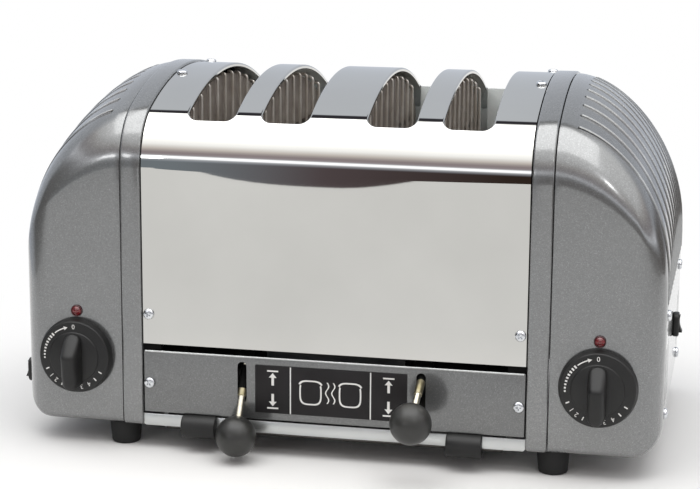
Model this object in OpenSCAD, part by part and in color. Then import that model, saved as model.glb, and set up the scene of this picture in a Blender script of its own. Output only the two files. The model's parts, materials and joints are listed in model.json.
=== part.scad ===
// Four-slot catering toaster with two lift levers and two timers
// Millimetres, +Z up, front towards -Y, standing on z = 0

/* [Body] */
// Width over both end covers
body_w = 376; // [366:1:390]
// Depth of the body, front face to rear face
body_d = 204; // [200:1:212]
// Height of the wrap's crown above the table
wrap_top = 216; // [212:1:224]
// Radius of the wrap's front and rear shoulders
shoulder_r = 36; // [32:1:40]
// Radius of the shallow arch over the top
crown_r = 200; // [180:5:240]
// Thickness of the wrap and panel sheet
sheet_t = 1.2; // [0.8:0.1:1.5]
// Width of the painted band at each end of the wrap
band_w = 12; // [11:0.5:14]
// Height of the band above the wrap
band_proud = 1.2; // [0.5:0.1:2]
// Thickness of the band's rim
rim_t = 4; // [3.6:0.1:5]
// Thickness of the end plate's web
web_t = 2; // [1.5:0.1:3]
// Width of the ledge under the wrap's edge
ledge_w = 11; // [9:0.5:12]
// Thickness of that ledge
ledge_t = 2; // [1.5:0.1:2.4]

/* [End covers] */
// Wall of the cast end covers
cover_t = 3; // [2.5:0.1:4]
// How far the dome falls from the band to the side
dome_drop = 85; // [70:1:95]
// Fullness of the dome, 2 is an ellipse
dome_power = 1.75; // [1.6:0.05:2.2]
// Radius of the cover's upright edges
edge_r = 20; // [14:1:22]
// Radius of the cover's lower outer edge
sill_r = 16.5; // [12:0.5:20]
// Width of the vent slots
vent_w = 2.6; // [2:0.1:3.4]
// Distance between vent slots
vent_pitch = 12.6; // [11.5:0.1:12.8]
// Number of vent slots over each dome
vent_count = 14; // [6:2:14]
// Height of the upper vents' lower ends
vent_z = 98; // [97:1:110]

/* [Bread slots] */
// Width of a bread slot
slot_w = 28; // [24:0.5:30]
// Distance of the bread slots from the front and rear faces
slot_end = 13.5; // [13:0.1:15]
// Corner radius of a bread slot
slot_r = 6; // [3:0.5:8]
// Depth of the turned-down lip
slot_lip = 2.2; // [1.8:0.2:4]
// Distance between the two slots of a pair
slot_pitch = 43.5; // [42:0.5:44]
// Distance of each pair's middle from the edge of the wrap
pair_in = 60; // [58.5:0.5:61]

/* [Front] */
// Height of the feet
foot_h = 14; // [13.5:0.5:18]
// Radius of a foot
foot_r = 9.5; // [7:0.5:10]
// Distance of the feet outside the bands
foot_out = 2.8; // [0.5:0.1:4.5]
// Distance of the feet from the front and rear faces
foot_inset = 12; // [11:0.5:16]
// Height of the bare front rail
rail_h = 7.2; // [7:0.1:9]
// Thickness of the front rail
rail_t = 1.5; // [1:0.1:2]
// Gap between the rail and the panel
rail_gap = 1.1; // [0.6:0.1:2]
// Height of the lever panel
panel_h = 37.1; // [36:0.1:40]
// Gap between the panel and the wrap
wrap_gap = 4.2; // [4:0.1:6]
// Depth of the panel's folded edges
panel_fold = 3.8; // [3:0.1:4.5]
// Distance of the label plate from the levers
label_gap = 8; // [6:0.5:20]
// Height of the label plate
label_h = 28.2; // [20:0.2:30]
// Thickness of the label plate
label_t = 0.8; // [0.5:0.1:1.2]

/* [Lever and lift] */
// Distance of the lever's pivot behind the panel's face
pivot_back = 12; // [11.5:0.1:12.5]
// Distance of the pivot below the panel's top edge
pivot_drop = 2.4; // [2:0.1:4]
// Distance from the pivot to the middle of the ball
lever_reach = 49; // [47:0.5:54]
// Diameter of the ball grip
ball_d = 23.6; // [20:0.2:24]
// Diameter of the lever rod
rod_d = 4; // [3:0.1:4.4]
// Diameter of the sleeve on the rod
sleeve_d = 4.8; // [4.6:0.1:5.4]
// Length of the sleeve, from the pivot
sleeve_l = 25; // [20:0.5:30]
// Slope of a raised lever, in degrees
lever_slope = 25.5; // [24:0.5:27]
// Swing of a lever, in degrees
lever_swing = 32.5; // [31:0.5:33]
// Diameter of the lever's shaft
shaft_d = 6; // [5:0.1:7]
// Length of the lift arm
arm_l = 107; // [104:0.5:108]
// Thickness of the lift arm
arm_t = 3; // [2:0.1:3.4]
// Diameter of the lift pin
pin_d = 4; // [3:0.1:4.4]
// Height of a lowered bread rest
rest_z = 70; // [69:0.5:74]
// Width of a bread rest
rest_w = 16; // [12:0.5:20]
// Diameter of the guide rods
guide_d = 5; // [4:0.1:5.5]

/* [Heating] */
// Thickness of an element board
board_t = 2.4; // [1.6:0.1:2.6]
// Depth of the element boards below the wrap's crown
board_gap = 6.6; // [6.6:0.1:10]
// Thickness of the heating ribbon
ribbon_t = 0.4; // [0.3:0.1:0.6]
// Width of the heating ribbon
ribbon_w = 3; // [2:0.1:4]
// Distance between the ribbon's runs
ribbon_pitch = 13; // [10:0.5:16]
// Diameter of the guard wires
wire_d = 1.8; // [1.4:0.1:2]
// Distance between guard wires
wire_pitch = 17; // [15:0.5:18]
// Guard wires on each slot wall
wire_count = 9; // [5:1:9]

/* [Controls] */
// Distance of the timers from the end cover's side
timer_in = 35.6; // [35:0.1:38]
// Height of the timers
timer_z = 54.3; // [53:0.1:56]
// Width of a timer's case
timer_w = 29; // [24:0.5:30]
// Depth of a timer's case
timer_d = 16; // [14:0.5:20]
// Diameter of the knob's skirt
knob_d = 44.5; // [38:0.5:46]
// Depth of the knob's skirt
skirt_h = 5; // [4:0.1:7]
// Depth of the knob's grip bar
grip_h = 13.5; // [9:0.5:15]
// Width of the grip bar
grip_w = 11; // [9:0.5:14]
// Diameter of the timer's spindle
spindle_d = 6; // [5:0.1:7]
// Diameter of an indicator lens
lamp_d = 6.8; // [5:0.1:7.5]
// Gap between the lens and the knob's skirt below it
lamp_gap = 0.8; // [0.5:0.1:3]
// Distance of the left rocker behind the front face
rocker_left_in = 24; // [24:1:27]
// Height of the left rocker
rocker_left_z = 37; // [36:1:42]
// Distance of the right rocker behind the middle
rocker_right_y = 0; // [-8:1:8]
// Height of the right rocker
rocker_right_z = 68; // [64:1:74]
// Tilt of a rocker to each side, in degrees
rocker_tilt = 8; // [5:0.5:9]
// Depth of the terminal block
terminal_d = 16; // [14:0.5:18]

/* [Crumb tray] */
// Thickness of the tray's sheet
tray_t = 0.8; // [0.6:0.1:1.2]
// Drop of the tray's floor below the front rail
tray_drop = 2; // [1.5:0.1:2.4]
// Width of the tray
tray_w = 199; // [192:1:206]
// Width of the base beside the tray
tray_side = 13; // [13:0.5:16]
// Distance of the tray clips from the levers
clip_out = 25.5; // [24.5:0.5:30]
// Width of a tray clip
clip_w = 20.5; // [16:0.5:21]
// Length of the half-round face of a tray clip
clip_h = 14; // [11:0.5:14]
// Reach of a tray clip under the tray
clip_hook = 11; // [9:0.5:13]

/* [Fasteners] */
// Radius of a screw head
head_r = 3.2; // [2.6:0.1:3.6]
// Height of a screw head
head_h = 2; // [1.4:0.1:2.6]
// Radius of a screw's thread
screw_r = 1.7; // [1.4:0.1:2]
// Length of the sheet screws
screw_l = 6; // [5:0.5:9]
// Distance of the sheet screws from the wrap's edge
screw_inset = 4.2; // [3.8:0.1:5]
// Height of the wrap's front screws
wrap_screw_z = 81.3; // [75:0.1:110]
// Distance of the top screws from the middle, front to back
top_screw_y = 31; // [20:1:36]

/* [Clearances] */
// Gap between neighbouring painted parts
seam = 0.3; // [0.2:0.1:0.5]
// Gap between parts that move past each other
run_gap = 0.5; // [0.4:0.1:0.7]
// Radial gap of a shaft in its bore
fit_gap = 0.05; // [0.02:0.01:0.08]
// Radial gap of a screw in its hole
hole_gap = 0.1; // [0.05:0.05:0.2]

/* [Hidden] */
$fn = 48;

// Body outline
half_w = body_w / 2;
half_d = body_d / 2;
wrap_x = tray_w / 2 + tray_side;
cover_x = wrap_x + band_w;
web_x = wrap_x + rim_t;
crown_z = wrap_top - crown_r;
shoulder_y = half_d - shoulder_r;
shoulder_z = crown_z + sqrt(pow(crown_r - shoulder_r, 2) - pow(shoulder_y, 2));
crown_half = asin(shoulder_y / (crown_r - shoulder_r));
shoulder_steps = 10;
crown_steps = 18;
cover_steps = 12;

// Bread slots, with the label and the tray clips beside their levers
pair_x = wrap_x - pair_in;
slot_l = body_d - 2 * slot_end;
label_w = 2 * (pair_x - label_gap);
clip_x = pair_x + clip_out;

// Heights of the front, from the feet up
rail_top = foot_h + rail_h;
panel_bottom = rail_top + rail_gap;
panel_top = panel_bottom + panel_h;
wrap_bottom = panel_top + wrap_gap;
panel_screw_z = panel_bottom + panel_h * 0.48;
label_z = panel_bottom + (panel_h - label_h) / 2;
foot_x = cover_x + foot_out;

// Lever pivot, lift arm and guide
pivot_y = -half_d + pivot_back;
pivot_z = panel_top - pivot_drop;
hub_r = shaft_d;
hub_w = 2 * shaft_d;
lift = 2 * arm_l * sin(lever_swing / 2);
slot_lever_w = sleeve_d + 2 * seam;
lever_end_gap = 1.5;
bracket_t = 2;
bracket_in = ledge_w + 3;
rail_x = pair_x + slot_pitch / 2 + slot_w / 2 + 9.7;
rail_w = 2.5;
arm_x = rail_x + rail_w + 2.5;
lug_r = pin_d / 2 + 2.5;
plate_t = 2;
plate_y = slot_l / 2 - 6.5;
block_w = guide_d + 4;
rear_y = plate_y + plate_t + block_w + 1;
guide_y = plate_y + plate_t + block_w / 2;
guide_x = [pair_x - 5.5, rail_x + 2.5];
cross_bar_h = 3.8;
rest_t = 1.2;
rest_lip = 4;

// Elements and guards
front_y = slot_l / 2 - 1;
board_z = rest_z - 2;
tongue_z = rest_z + lift + rest_lip + 12;
wire_off = 2.2;
board_off = 5.5;
bulkhead_gap = 8;
wire_gap = board_gap - wire_d / 2 - 0.2;
slot_x = [for (side = [-1, 1]) for (k = [-1, 1]) side * pair_x + k * slot_pitch / 2];
board_x = [for (side = [-1, 1]) for (k = [-1, 0, 1])
    side * pair_x + k * (slot_pitch / 2 + slot_w / 2 + board_off)];

// Timers, with the indicator lamps just above the knobs
timer_x = half_w - timer_in;
case_x = half_w - edge_r - 3 * run_gap;
spindle_in = 0.75 * timer_d;
knob_y = half_d + band_proud + run_gap;
lamp_z = timer_z + knob_d / 2 + lamp_gap + lamp_d / 2;

// Fastener places; the posts are given from front to rear for each end
screw_x = wrap_x - screw_inset;
post_r = screw_r + 2.3;
post_in = 42;
posts_left = [-half_d + post_in, half_d - post_in];
posts_right = [-half_d + cover_t + timer_d + 1 + post_r, half_d - post_in];
post_z = [foot_h + sill_r + post_r + seam, vent_z - 6];
post_screw_l = 12;

// Rocker switch
rocker_w = 6.6;
rocker_l = 10;
rocker_out = 1;
rocker_proud = 3.6;
rocker_pin_r = 1;
rocker_pocket = [rocker_l / 2 + 2 * run_gap, rocker_w / 2 + seam];
rocker_wall = rocker_pocket + [0.8, 1.2];
rocker_left_y = -half_d + rocker_left_in;

// Cord gland, and the distance from the frame's origin back to the middle of the body
gland_in = 42.5;
gland_r = 6;
gland_out = 14;
gland_at = [gland_in - wrap_x, panel_bottom + gland_r * 3];
front_reach = half_d - pivot_back + lever_reach * cos(lever_slope) + ball_d / 2;
rear_reach = half_d + gland_out;
body_y = (front_reach - rear_reach) / 2;

// Points of the arched side profile, moved outwards by e and cut off level at z0
function arc(c, r, a0, a1, n) = [for (i = [0:n]) c + r * [cos(a0 + (a1 - a0) * i / n), sin(a0 + (a1 - a0) * i / n)]];
function arch_points(e, z0) = concat(
    [[-half_d - e, z0]],
    arc([-shoulder_y, shoulder_z], shoulder_r + e, 180, 90 + crown_half, shoulder_steps),
    arc([0, crown_z], crown_r + e, 90 + crown_half, 90 - crown_half, crown_steps),
    arc([shoulder_y, shoulder_z], shoulder_r + e, 90 - crown_half, 0, shoulder_steps),
    [[half_d + e, z0]]);

// Height of that profile at a distance y from the middle
function roof(y, e) = abs(y) < (crown_r + e) * sin(crown_half)
    ? crown_z + sqrt(pow(crown_r + e, 2) - y * y)
    : shoulder_z + sqrt(pow(shoulder_r + e, 2) - pow(abs(y) - shoulder_y, 2));

// Height of the shelves that hold the guide rods' upper ends
shelf_z = roof(rear_y + sheet_t, -bulkhead_gap / 2) - 16;

// Section of an end cover at the share q of its length, with its wall taken off by g
function cover_len(g) = half_w - cover_x - g;
function round_in(r, d) = d < r ? r - sqrt(r * r - pow(r - d, 2)) : 0;
function cover_section(q, g) =
    let (left = (1 - q) * cover_len(g))
    let (fall = dome_drop * (1 - pow(1 - pow(q, dome_power), 1 / dome_power)))
    let (ky = (half_d - g - round_in(edge_r - g, left)) / half_d)
    let (kz = (wrap_top - g - fall - foot_h) / (wrap_top - foot_h))
    let (low = foot_h + g + round_in(sill_r - g, left))
    [for (p = arch_points(0, foot_h)) [p[0] * ky, max(low, foot_h + (p[1] - foot_h) * kz)]];

// Pose of each lever and lift as drawn: the left lever is down, the right one up
function lever_angle(side) = side < 0 ? lever_slope + lever_swing : lever_slope;
function arm_angle(side) = side < 0 ? lever_swing / 2 : -lever_swing / 2;
function raised(side) = side < 0 ? lift : 0;

// A flat outline in Y and Z, pushed out along X
module along_x(x0, x1) {
    translate([x0, 0, 0]) rotate([90, 0, 90]) linear_extrude(x1 - x0) children();
}

// A flat outline in X and Z, pushed out along Y
module along_y(y0, y1) {
    translate([0, y1, 0]) rotate([90, 0, 0]) linear_extrude(y1 - y0) children();
}

module on_side(side) {
    if (side > 0) children();
    else mirror([1, 0, 0]) children();
}

module box(low, high) {
    translate(low) cube(high - low);
}

module arch_ring(outer, inner, z0) {
    difference() {
        polygon(arch_points(outer, z0));
        polygon(arch_points(inner, z0 - 1));
    }
}

module round_rect(w, l, r) {
    square([w - 2 * r, l], center = true);
    square([w, l - 2 * r], center = true);
    for (x = [-1, 1]) for (y = [-1, 1])
        translate([x * (w / 2 - r), y * (l / 2 - r)]) circle(r = r);
}

// A slot with round ends, standing upright
module upright_slot(w, z0, z1) {
    translate([-w / 2, z0 + w / 2]) square([w, z1 - z0 - w]);
    for (z = [z0 + w / 2, z1 - w / 2]) translate([0, z]) circle(d = w);
}

// A pan-head screw with a cross recess, its head standing on z = 0
module pan_screw(length) {
    recess = head_r * 1.1;
    difference() {
        union() {
            cylinder(h = head_h / 2, r = head_r);
            translate([0, 0, head_h / 2]) cylinder(h = head_h / 2, r1 = head_r, r2 = head_r * 0.68);
        }
        for (a = [0, 90]) rotate(a)
            translate([-recess / 2, -recess / 8, head_h * 0.45]) cube([recess, recess / 4, head_h]);
    }
    translate([0, 0, -length]) cylinder(h = length + head_h * 0.3, r = screw_r);
}

module screw_hole(length) {
    translate([0, 0, -length - 1]) cylinder(h = length + 2, r = screw_r + hole_gap);
}

// Places of the wrap's screws on one end: front, rear and two on the arch
module wrap_screw_sites() {
    for (face = [-1, 1]) translate([screw_x, face * half_d, wrap_screw_z]) rotate([-90 * face, 0, 0]) children();
    for (y = [-top_screw_y, top_screw_y]) {
        lean = asin(y / crown_r);
        rest = crown_r + pow(head_r, 2) / crown_r;
        translate([screw_x, rest * sin(lean), crown_z + rest * cos(lean)]) rotate([-lean, 0, 0]) children();
    }
}

module panel_screw_sites() {
    for (face = [-1, 1]) translate([screw_x, face * half_d, panel_screw_z]) rotate([-90 * face, 0, 0]) children();
}

module cover_screw_sites(posts) {
    for (y = posts) for (z = post_z) translate([half_w, y, z]) rotate([0, 90, 0]) children();
}

module foot_sites() {
    for (x = [-foot_x, foot_x]) for (y = [-1, 1]) translate([x, y * (half_d - foot_inset), 0]) children();
}

// Base, tray guides and feet

module base_frame() {
    color("gainsboro") {
        box([-wrap_x, -half_d + seam, foot_h], [wrap_x, -half_d + seam + rail_t, rail_top]);
        for (side = [-1, 1]) on_side(side)
            box([tray_w / 2 + 2, -half_d + seam, rail_top - sheet_t], [wrap_x, rear_y, rail_top]);
        box([-wrap_x, plate_y + plate_t + 1, rail_top - sheet_t / 2], [wrap_x, rear_y, rail_top + cross_bar_h]);
    }
}

module tray_runners() {
    wall = tray_w / 2 + run_gap;
    floor_z = foot_h - tray_drop - seam;
    front = -half_d + clip_hook;
    back = half_d - 5 * sheet_t;
    color("silver") for (side = [-1, 1]) on_side(side) {
        box([wall, front, floor_z - sheet_t], [wall + 2.5 * sheet_t, back, rail_top - sheet_t]);
        box([wall - 5 * sheet_t, front, floor_z - sheet_t], [wall + sheet_t, back, floor_z]);
    }
}

module tray_clips() {
    face_y = -half_d + seam;
    low = panel_bottom - clip_h;
    color("#262626") for (side = [-1, 1]) on_side(side)
        along_x(clip_x - clip_w / 2, clip_x + clip_w / 2) {
            intersection() {
                translate([face_y, low + clip_h / 2]) circle(d = clip_h);
                translate([face_y - clip_h, low]) square([clip_h, clip_h]);
            }
            translate([face_y - rail_t / 2, low]) square([clip_hook - rail_t, foot_h - tray_drop - run_gap - low]);
        }
}

module feet() {
    color("#1c1c1c") foot_sites() difference() {
        cylinder(h = foot_h, r1 = foot_r - 1, r2 = foot_r);
        translate([0, 0, foot_h / 2]) cylinder(h = foot_h, r = screw_r + fit_gap);
    }
}

module foot_studs() {
    color("silver") foot_sites() {
        translate([0, 0, foot_h / 2 + seam]) cylinder(h = foot_h / 2 - seam + rim_t + 4, r = screw_r);
        translate([0, 0, foot_h + rim_t]) cylinder(h = 3, r = 2 * screw_r, $fn = 6);
    }
}

// Shells

module end_plate(posts) {
    tab = foot_r + 0.5;
    tab_y = half_d - cover_t - seam;
    color("#6f7373") difference() {
        union() {
            along_x(wrap_x, cover_x) difference() {
                polygon(arch_points(band_proud, foot_h));
                polygon(arch_points(-rim_t, foot_h + rim_t));
            }
            along_x(web_x, web_x + web_t) polygon(arch_points(-rim_t / 2, foot_h + rim_t / 2));
            along_x(wrap_x - ledge_w, wrap_x + 1)
                arch_ring(-sheet_t, -sheet_t - ledge_t, panel_bottom);
            for (y = [-1, 1]) {
                inner_y = y * (half_d - foot_inset - tab);
                box([web_x, min(y * tab_y, inner_y), foot_h],
                    [foot_x + tab, max(y * tab_y, inner_y), foot_h + rim_t]);
            }
            for (y = posts) for (z = post_z)
                translate([web_x, y, z]) rotate([0, 90, 0]) cylinder(h = half_w - cover_t - web_x, r = post_r);
        }
        wrap_screw_sites() screw_hole(screw_l);
        panel_screw_sites() screw_hole(screw_l);
        cover_screw_sites(posts) screw_hole(post_screw_l);
        foot_sites() cylinder(h = foot_h + 2 * rim_t, r = screw_r + fit_gap);
        translate([web_x - 1, 0, shoulder_z]) rotate([0, 90, 0]) cylinder(h = web_t + 2, r = 12);
    }
}

// Outer or inner form of an end cover
module cover_form(g) {
    slice = 0.01;
    hull() for (i = [0:cover_steps]) {
        q = sin(90 * i / cover_steps);
        x = cover_x + (cover_len(g) - slice) * q;
        along_x(x, x + slice) polygon(cover_section(q, g));
    }
}

module end_cover(posts, lower_vents, rocker_y, rocker_z) {
    vent_first = -vent_pitch * (vent_count - 1) / 2;
    color("#6f7373") difference() {
        cover_form(0);
        cover_form(cover_t);
        box([cover_x - 1, -half_d + cover_t, foot_h - 1],
            [half_w - sill_r, half_d - cover_t, foot_h + 2 * cover_t]);
        for (i = [0:vent_count - 1])
            translate([cover_x + 10, vent_first + i * vent_pitch - vent_w / 2, vent_z])
                cube([half_w, vent_w, wrap_top]);
        for (y = lower_vents) along_x(half_w - 2 * cover_t, half_w + 1)
            translate([y, 0]) upright_slot(vent_w, timer_z - 16, timer_z + 17);
        cover_screw_sites(posts) screw_hole(post_screw_l);
        translate([timer_x, 0, timer_z]) rotate([90, 0, 0]) cylinder(h = half_d + 1, d = spindle_d + 2);
        translate([timer_x, 0, lamp_z]) rotate([90, 0, 0]) cylinder(h = half_d + 1, d = lamp_d + 2 * hole_gap);
        translate([half_w, rocker_y, rocker_z])
            cube([4 * cover_t, 2 * (rocker_wall[1] + hole_gap), 2 * (rocker_wall[0] + hole_gap)], center = true);
    }
}

module body_wrap() {
    color("#c9c9c6") difference() {
        union() {
            along_x(-wrap_x, wrap_x) arch_ring(0, -sheet_t, wrap_bottom);
            intersection() {
                along_x(-wrap_x, wrap_x) arch_ring(-sheet_t / 2, -slot_lip, shoulder_z - shoulder_r);
                for (x = slot_x) translate([x, 0, 0]) linear_extrude(wrap_top)
                    round_rect(slot_w + 2 * sheet_t, slot_l + 2 * sheet_t, slot_r + sheet_t);
            }
        }
        for (x = slot_x) translate([x, 0, shoulder_z - shoulder_r - 1]) linear_extrude(wrap_top)
            round_rect(slot_w, slot_l, slot_r);
        for (side = [-1, 1]) on_side(side) wrap_screw_sites() screw_hole(screw_l);
    }
}

// Folded sheet below the wrap, as seen on the front
module sheet_panel() {
    face = wrap_x - seam;
    fold = wrap_x - ledge_w - seam;
    difference() {
        union() {
            box([-face, -half_d, panel_bottom], [face, -half_d + sheet_t, panel_top]);
            for (z = [panel_bottom, panel_top - sheet_t])
                box([-fold, -half_d, z], [fold, -half_d + sheet_t + panel_fold, z + sheet_t]);
        }
        for (side = [-1, 1]) on_side(side) panel_screw_sites() screw_hole(screw_l);
    }
}

module front_panel() {
    low = lever_slope + lever_swing;
    z0 = pivot_z - pivot_back * tan(low) - sleeve_d / 2 / cos(low) - lever_end_gap;
    z1 = pivot_z - (pivot_back - sheet_t) * tan(lever_slope) + sleeve_d / 2 / cos(lever_slope) + lever_end_gap;
    color("#646868") difference() {
        sheet_panel();
        for (x = [-pair_x, pair_x]) along_y(-half_d - 1, -half_d + sheet_t + 1)
            translate([x, 0]) upright_slot(slot_lever_w, z0, z1);
    }
}

module rear_panel() {
    color("#646868") difference() {
        mirror([0, 1, 0]) sheet_panel();
        translate([gland_at[0], half_d + 1, gland_at[1]]) rotate([90, 0, 0])
            cylinder(h = sheet_t + 2, r = gland_r + hole_gap);
    }
}

module label_plate() {
    color("#2b292a") box([-label_w / 2, -half_d - label_t, label_z], [label_w / 2, -half_d, label_z + label_h]);
}

module cord_gland() {
    color("#1e1e1e") translate([gland_at[0], half_d, gland_at[1]]) rotate([-90, 0, 0]) difference() {
        union() {
            translate([0, 0, -sheet_t - 5]) cylinder(h = sheet_t + 6, r = gland_r);
            translate([0, 0, -sheet_t - 4]) cylinder(h = 4, r = gland_r + 3, $fn = 6);
            cylinder(h = 5, r = gland_r + 3, $fn = 6);
            translate([0, 0, 5]) cylinder(h = gland_out - 5, r1 = gland_r + 1, r2 = gland_r - 1);
        }
        translate([0, 0, -20]) cylinder(h = 60, r = gland_r - 2);
    }
}

module wrap_screws() {
    color("#d8dadc") for (side = [-1, 1]) on_side(side) wrap_screw_sites() pan_screw(screw_l);
}

module panel_screws() {
    color("#d8dadc") for (side = [-1, 1]) on_side(side) panel_screw_sites() pan_screw(screw_l);
}

module cover_screws() {
    color("#d8dadc") {
        on_side(-1) cover_screw_sites(posts_left) pan_screw(post_screw_l);
        cover_screw_sites(posts_right) pan_screw(post_screw_l);
    }
}

// Inner frame and heating

module front_bulkhead() {
    color("#b9bcbd") intersection() {
        along_x(-web_x, web_x) polygon(arch_points(-bulkhead_gap, wrap_bottom + 2.4));
        box([-web_x, -front_y - sheet_t, 0], [web_x, -front_y, wrap_top]);
    }
}

module rear_bulkhead() {
    color("#b9bcbd") {
        intersection() {
            along_x(-web_x, web_x) polygon(arch_points(-bulkhead_gap / 2, rail_top + cross_bar_h));
            box([-web_x, rear_y, 0], [web_x, rear_y + sheet_t, wrap_top]);
        }
        for (side = [-1, 1]) for (x = guide_x) difference() {
            box([side * x - block_w / 2 + 0.5, guide_y - block_w / 2, shelf_z],
                [side * x + block_w / 2 - 0.5, rear_y + sheet_t / 2, shelf_z + 2]);
            translate([side * x, guide_y, shelf_z - 1]) cylinder(h = 4, d = guide_d + 2 * fit_gap);
        }
    }
}

module guide_rods() {
    foot = rail_top + cross_bar_h;
    color("#d0d2d4") for (side = [-1, 1]) for (x = guide_x)
        translate([side * x, guide_y, foot]) cylinder(h = shelf_z + 5 - foot, d = guide_d);
}

module element(x) {
    color("#4a3f37") along_x(x - board_t / 2, x + board_t / 2) intersection() {
        polygon(arch_points(-board_gap, board_z));
        union() {
            translate([-front_y, board_z]) square([front_y + plate_y - 4, wrap_top]);
            translate([0, tongue_z]) square([rear_y, wrap_top]);
        }
    }
}

// One ribbon laid to and fro over the face of a board
module ribbon_path() {
    y0 = -front_y + 8;
    y1 = plate_y - 12;
    runs = floor((roof(y0, -board_gap) - board_z - 2 * ribbon_w) / ribbon_pitch / 2) * 2;
    for (i = [0:runs]) {
        z = board_z + ribbon_w + i * ribbon_pitch;
        translate([y0, z]) square([y1 - y0, ribbon_w]);
        if (i < runs)
            translate([i % 2 == 0 ? y1 - ribbon_w : y0, z]) square([ribbon_w, ribbon_pitch + ribbon_w / 2]);
    }
}

module element_ribbons() {
    color("#8a7f76") for (i = [0:len(board_x) - 1]) {
        side = board_x[i] < 0 ? -1 : 1;
        offset_x = board_x[i] - side * pair_x;
        for (k = [-1, 1]) if (offset_x * k <= 0) {
            face = board_x[i] + k * board_t / 2;
            along_x(min(face, face + k * ribbon_t), max(face, face + k * ribbon_t)) ribbon_path();
        }
    }
}

// Wire guards of one bread slot, hooked over the boards on both sides
module slot_guard(x) {
    low = board_z + wire_d;
    side = x < 0 ? -1 : 1;
    first = -wire_pitch * (wire_count - 1) / 2;
    color("#c6c2ba") for (k = [-1, 1]) {
        wall = x + k * (slot_w / 2 + wire_off);
        middle = k * (side * pair_x - x) > 0;
        tip = middle ? side * pair_x - k * 0.4 : x + k * (slot_w / 2 + board_off);
        for (i = [0:wire_count - 1]) {
            y = first + i * wire_pitch;
            top = roof(y, -wire_gap);
            translate([wall, y, low]) cylinder(h = top - low, d = wire_d, $fn = 16);
            translate([wall, y, top]) sphere(d = wire_d + 0.2, $fn = 16);
            translate([min(wall, tip), y, top]) rotate([0, 90, 0])
                cylinder(h = abs(tip - wall), d = wire_d, $fn = 16);
        }
        translate([wall, first - wire_d, low]) rotate([-90, 0, 0])
            cylinder(h = wire_pitch * (wire_count - 1) + 2 * wire_d, d = wire_d + 0.4, $fn = 16);
    }
}

// Lever, lift arm and carriage

bracket_x = [pair_x - hub_w / 2 - bracket_t - 1, arm_x - bracket_in - bracket_t];

module lever_brackets() {
    back = -half_d + sheet_t;
    color("#b9bcbd") for (x = bracket_x) along_x(x, x + bracket_t) difference() {
        union() {
            polygon([[back, pivot_z - 2.5 * hub_r], [back, pivot_z - hub_r], [pivot_y, pivot_z + hub_r],
                [pivot_y, pivot_z - hub_r]]);
            translate([pivot_y, pivot_z]) circle(r = hub_r);
        }
        translate([pivot_y, pivot_z]) circle(r = shaft_d / 2 + fit_gap);
    }
}

module lever_frame(side) {
    translate([side * pair_x, pivot_y, pivot_z]) rotate([lever_angle(side), 0, 0]) children();
}

module lever_shaft(side) {
    start = bracket_x[0] - 2;
    color("#b9bcbd") difference() {
        union() {
            on_side(side) translate([start, pivot_y, pivot_z]) rotate([0, 90, 0])
                cylinder(h = arm_x + arm_t + 1 - start, d = shaft_d);
            on_side(side) translate([pair_x - hub_w / 2, pivot_y, pivot_z]) rotate([0, 90, 0])
                cylinder(h = hub_w, r = hub_r);
        }
        lever_frame(side) rotate([90, 0, 0]) cylinder(h = 2 * hub_r, d = rod_d + 2 * fit_gap);
    }
}

module lever_rod(side) {
    color("#cfcabb") lever_frame(side) rotate([90, 0, 0]) {
        translate([0, 0, seam]) cylinder(h = lever_reach + 2, d = rod_d);
        translate([0, 0, hub_r + seam]) cylinder(h = sleeve_l - hub_r - seam, d = sleeve_d);
    }
}

module lever_ball(side) {
    color("#2e2e2d") lever_frame(side) rotate([90, 0, 0]) difference() {
        translate([0, 0, lever_reach]) sphere(d = ball_d);
        cylinder(h = lever_reach + 2.5, d = rod_d + 2 * fit_gap);
    }
}

module lift_arm(side) {
    color("#b9bcbd") on_side(side) translate([0, pivot_y, pivot_z]) rotate([arm_angle(side), 0, 0]) {
        along_x(arm_x, arm_x + arm_t) difference() {
            union() {
                circle(r = hub_r + 1);
                translate([arm_l, 0]) circle(r = lug_r);
                polygon([[0, -hub_r], [0, hub_r], [arm_l, lug_r - 0.5], [arm_l, 0.5 - lug_r]]);
            }
            circle(r = shaft_d / 2 + fit_gap);
        }
        translate([rail_x - run_gap, arm_l, 0]) rotate([0, 90, 0])
            cylinder(h = arm_x + arm_t / 2 - rail_x + run_gap, d = pin_d);
    }
}

module carriage(side) {
    pin_z = pivot_z - lift / 2;
    throw = arm_l * (1 - cos(lever_swing / 2));
    pin_y = pivot_y + arm_l - throw;
    slot_y = [pin_y - pin_d / 2 - 2 * run_gap, pin_y + throw + pin_d / 2 + 2 * run_gap];
    slot_half = pin_d / 2 + run_gap;
    inner = pair_x - slot_pitch / 2 - rest_w / 2;
    color("#c3c5c6") translate([0, 0, raised(side)]) on_side(side) {
        along_x(rail_x, rail_x + rail_w) difference() {
            translate([slot_y[0] - 3, pin_z - lug_r]) square([plate_y + 1 - slot_y[0] + 3, 2 * lug_r]);
            translate([slot_y[0], pin_z - slot_half]) square([slot_y[1] - slot_y[0], 2 * slot_half]);
        }
        box([inner, plate_y, pin_z - lug_r], [guide_x[1] + block_w / 2, plate_y + plate_t, rest_z + rest_lip]);
        for (x = guide_x) for (z = [rail_top + cross_bar_h + 1, rest_z + rest_lip - 8]) difference() {
            box([x - block_w / 2, plate_y + plate_t / 2, z], [x + block_w / 2, guide_y + block_w / 2, z + 8]);
            translate([x, guide_y, z - 1]) cylinder(h = 10, d = guide_d + 2 * fit_gap);
        }
    }
}

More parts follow.
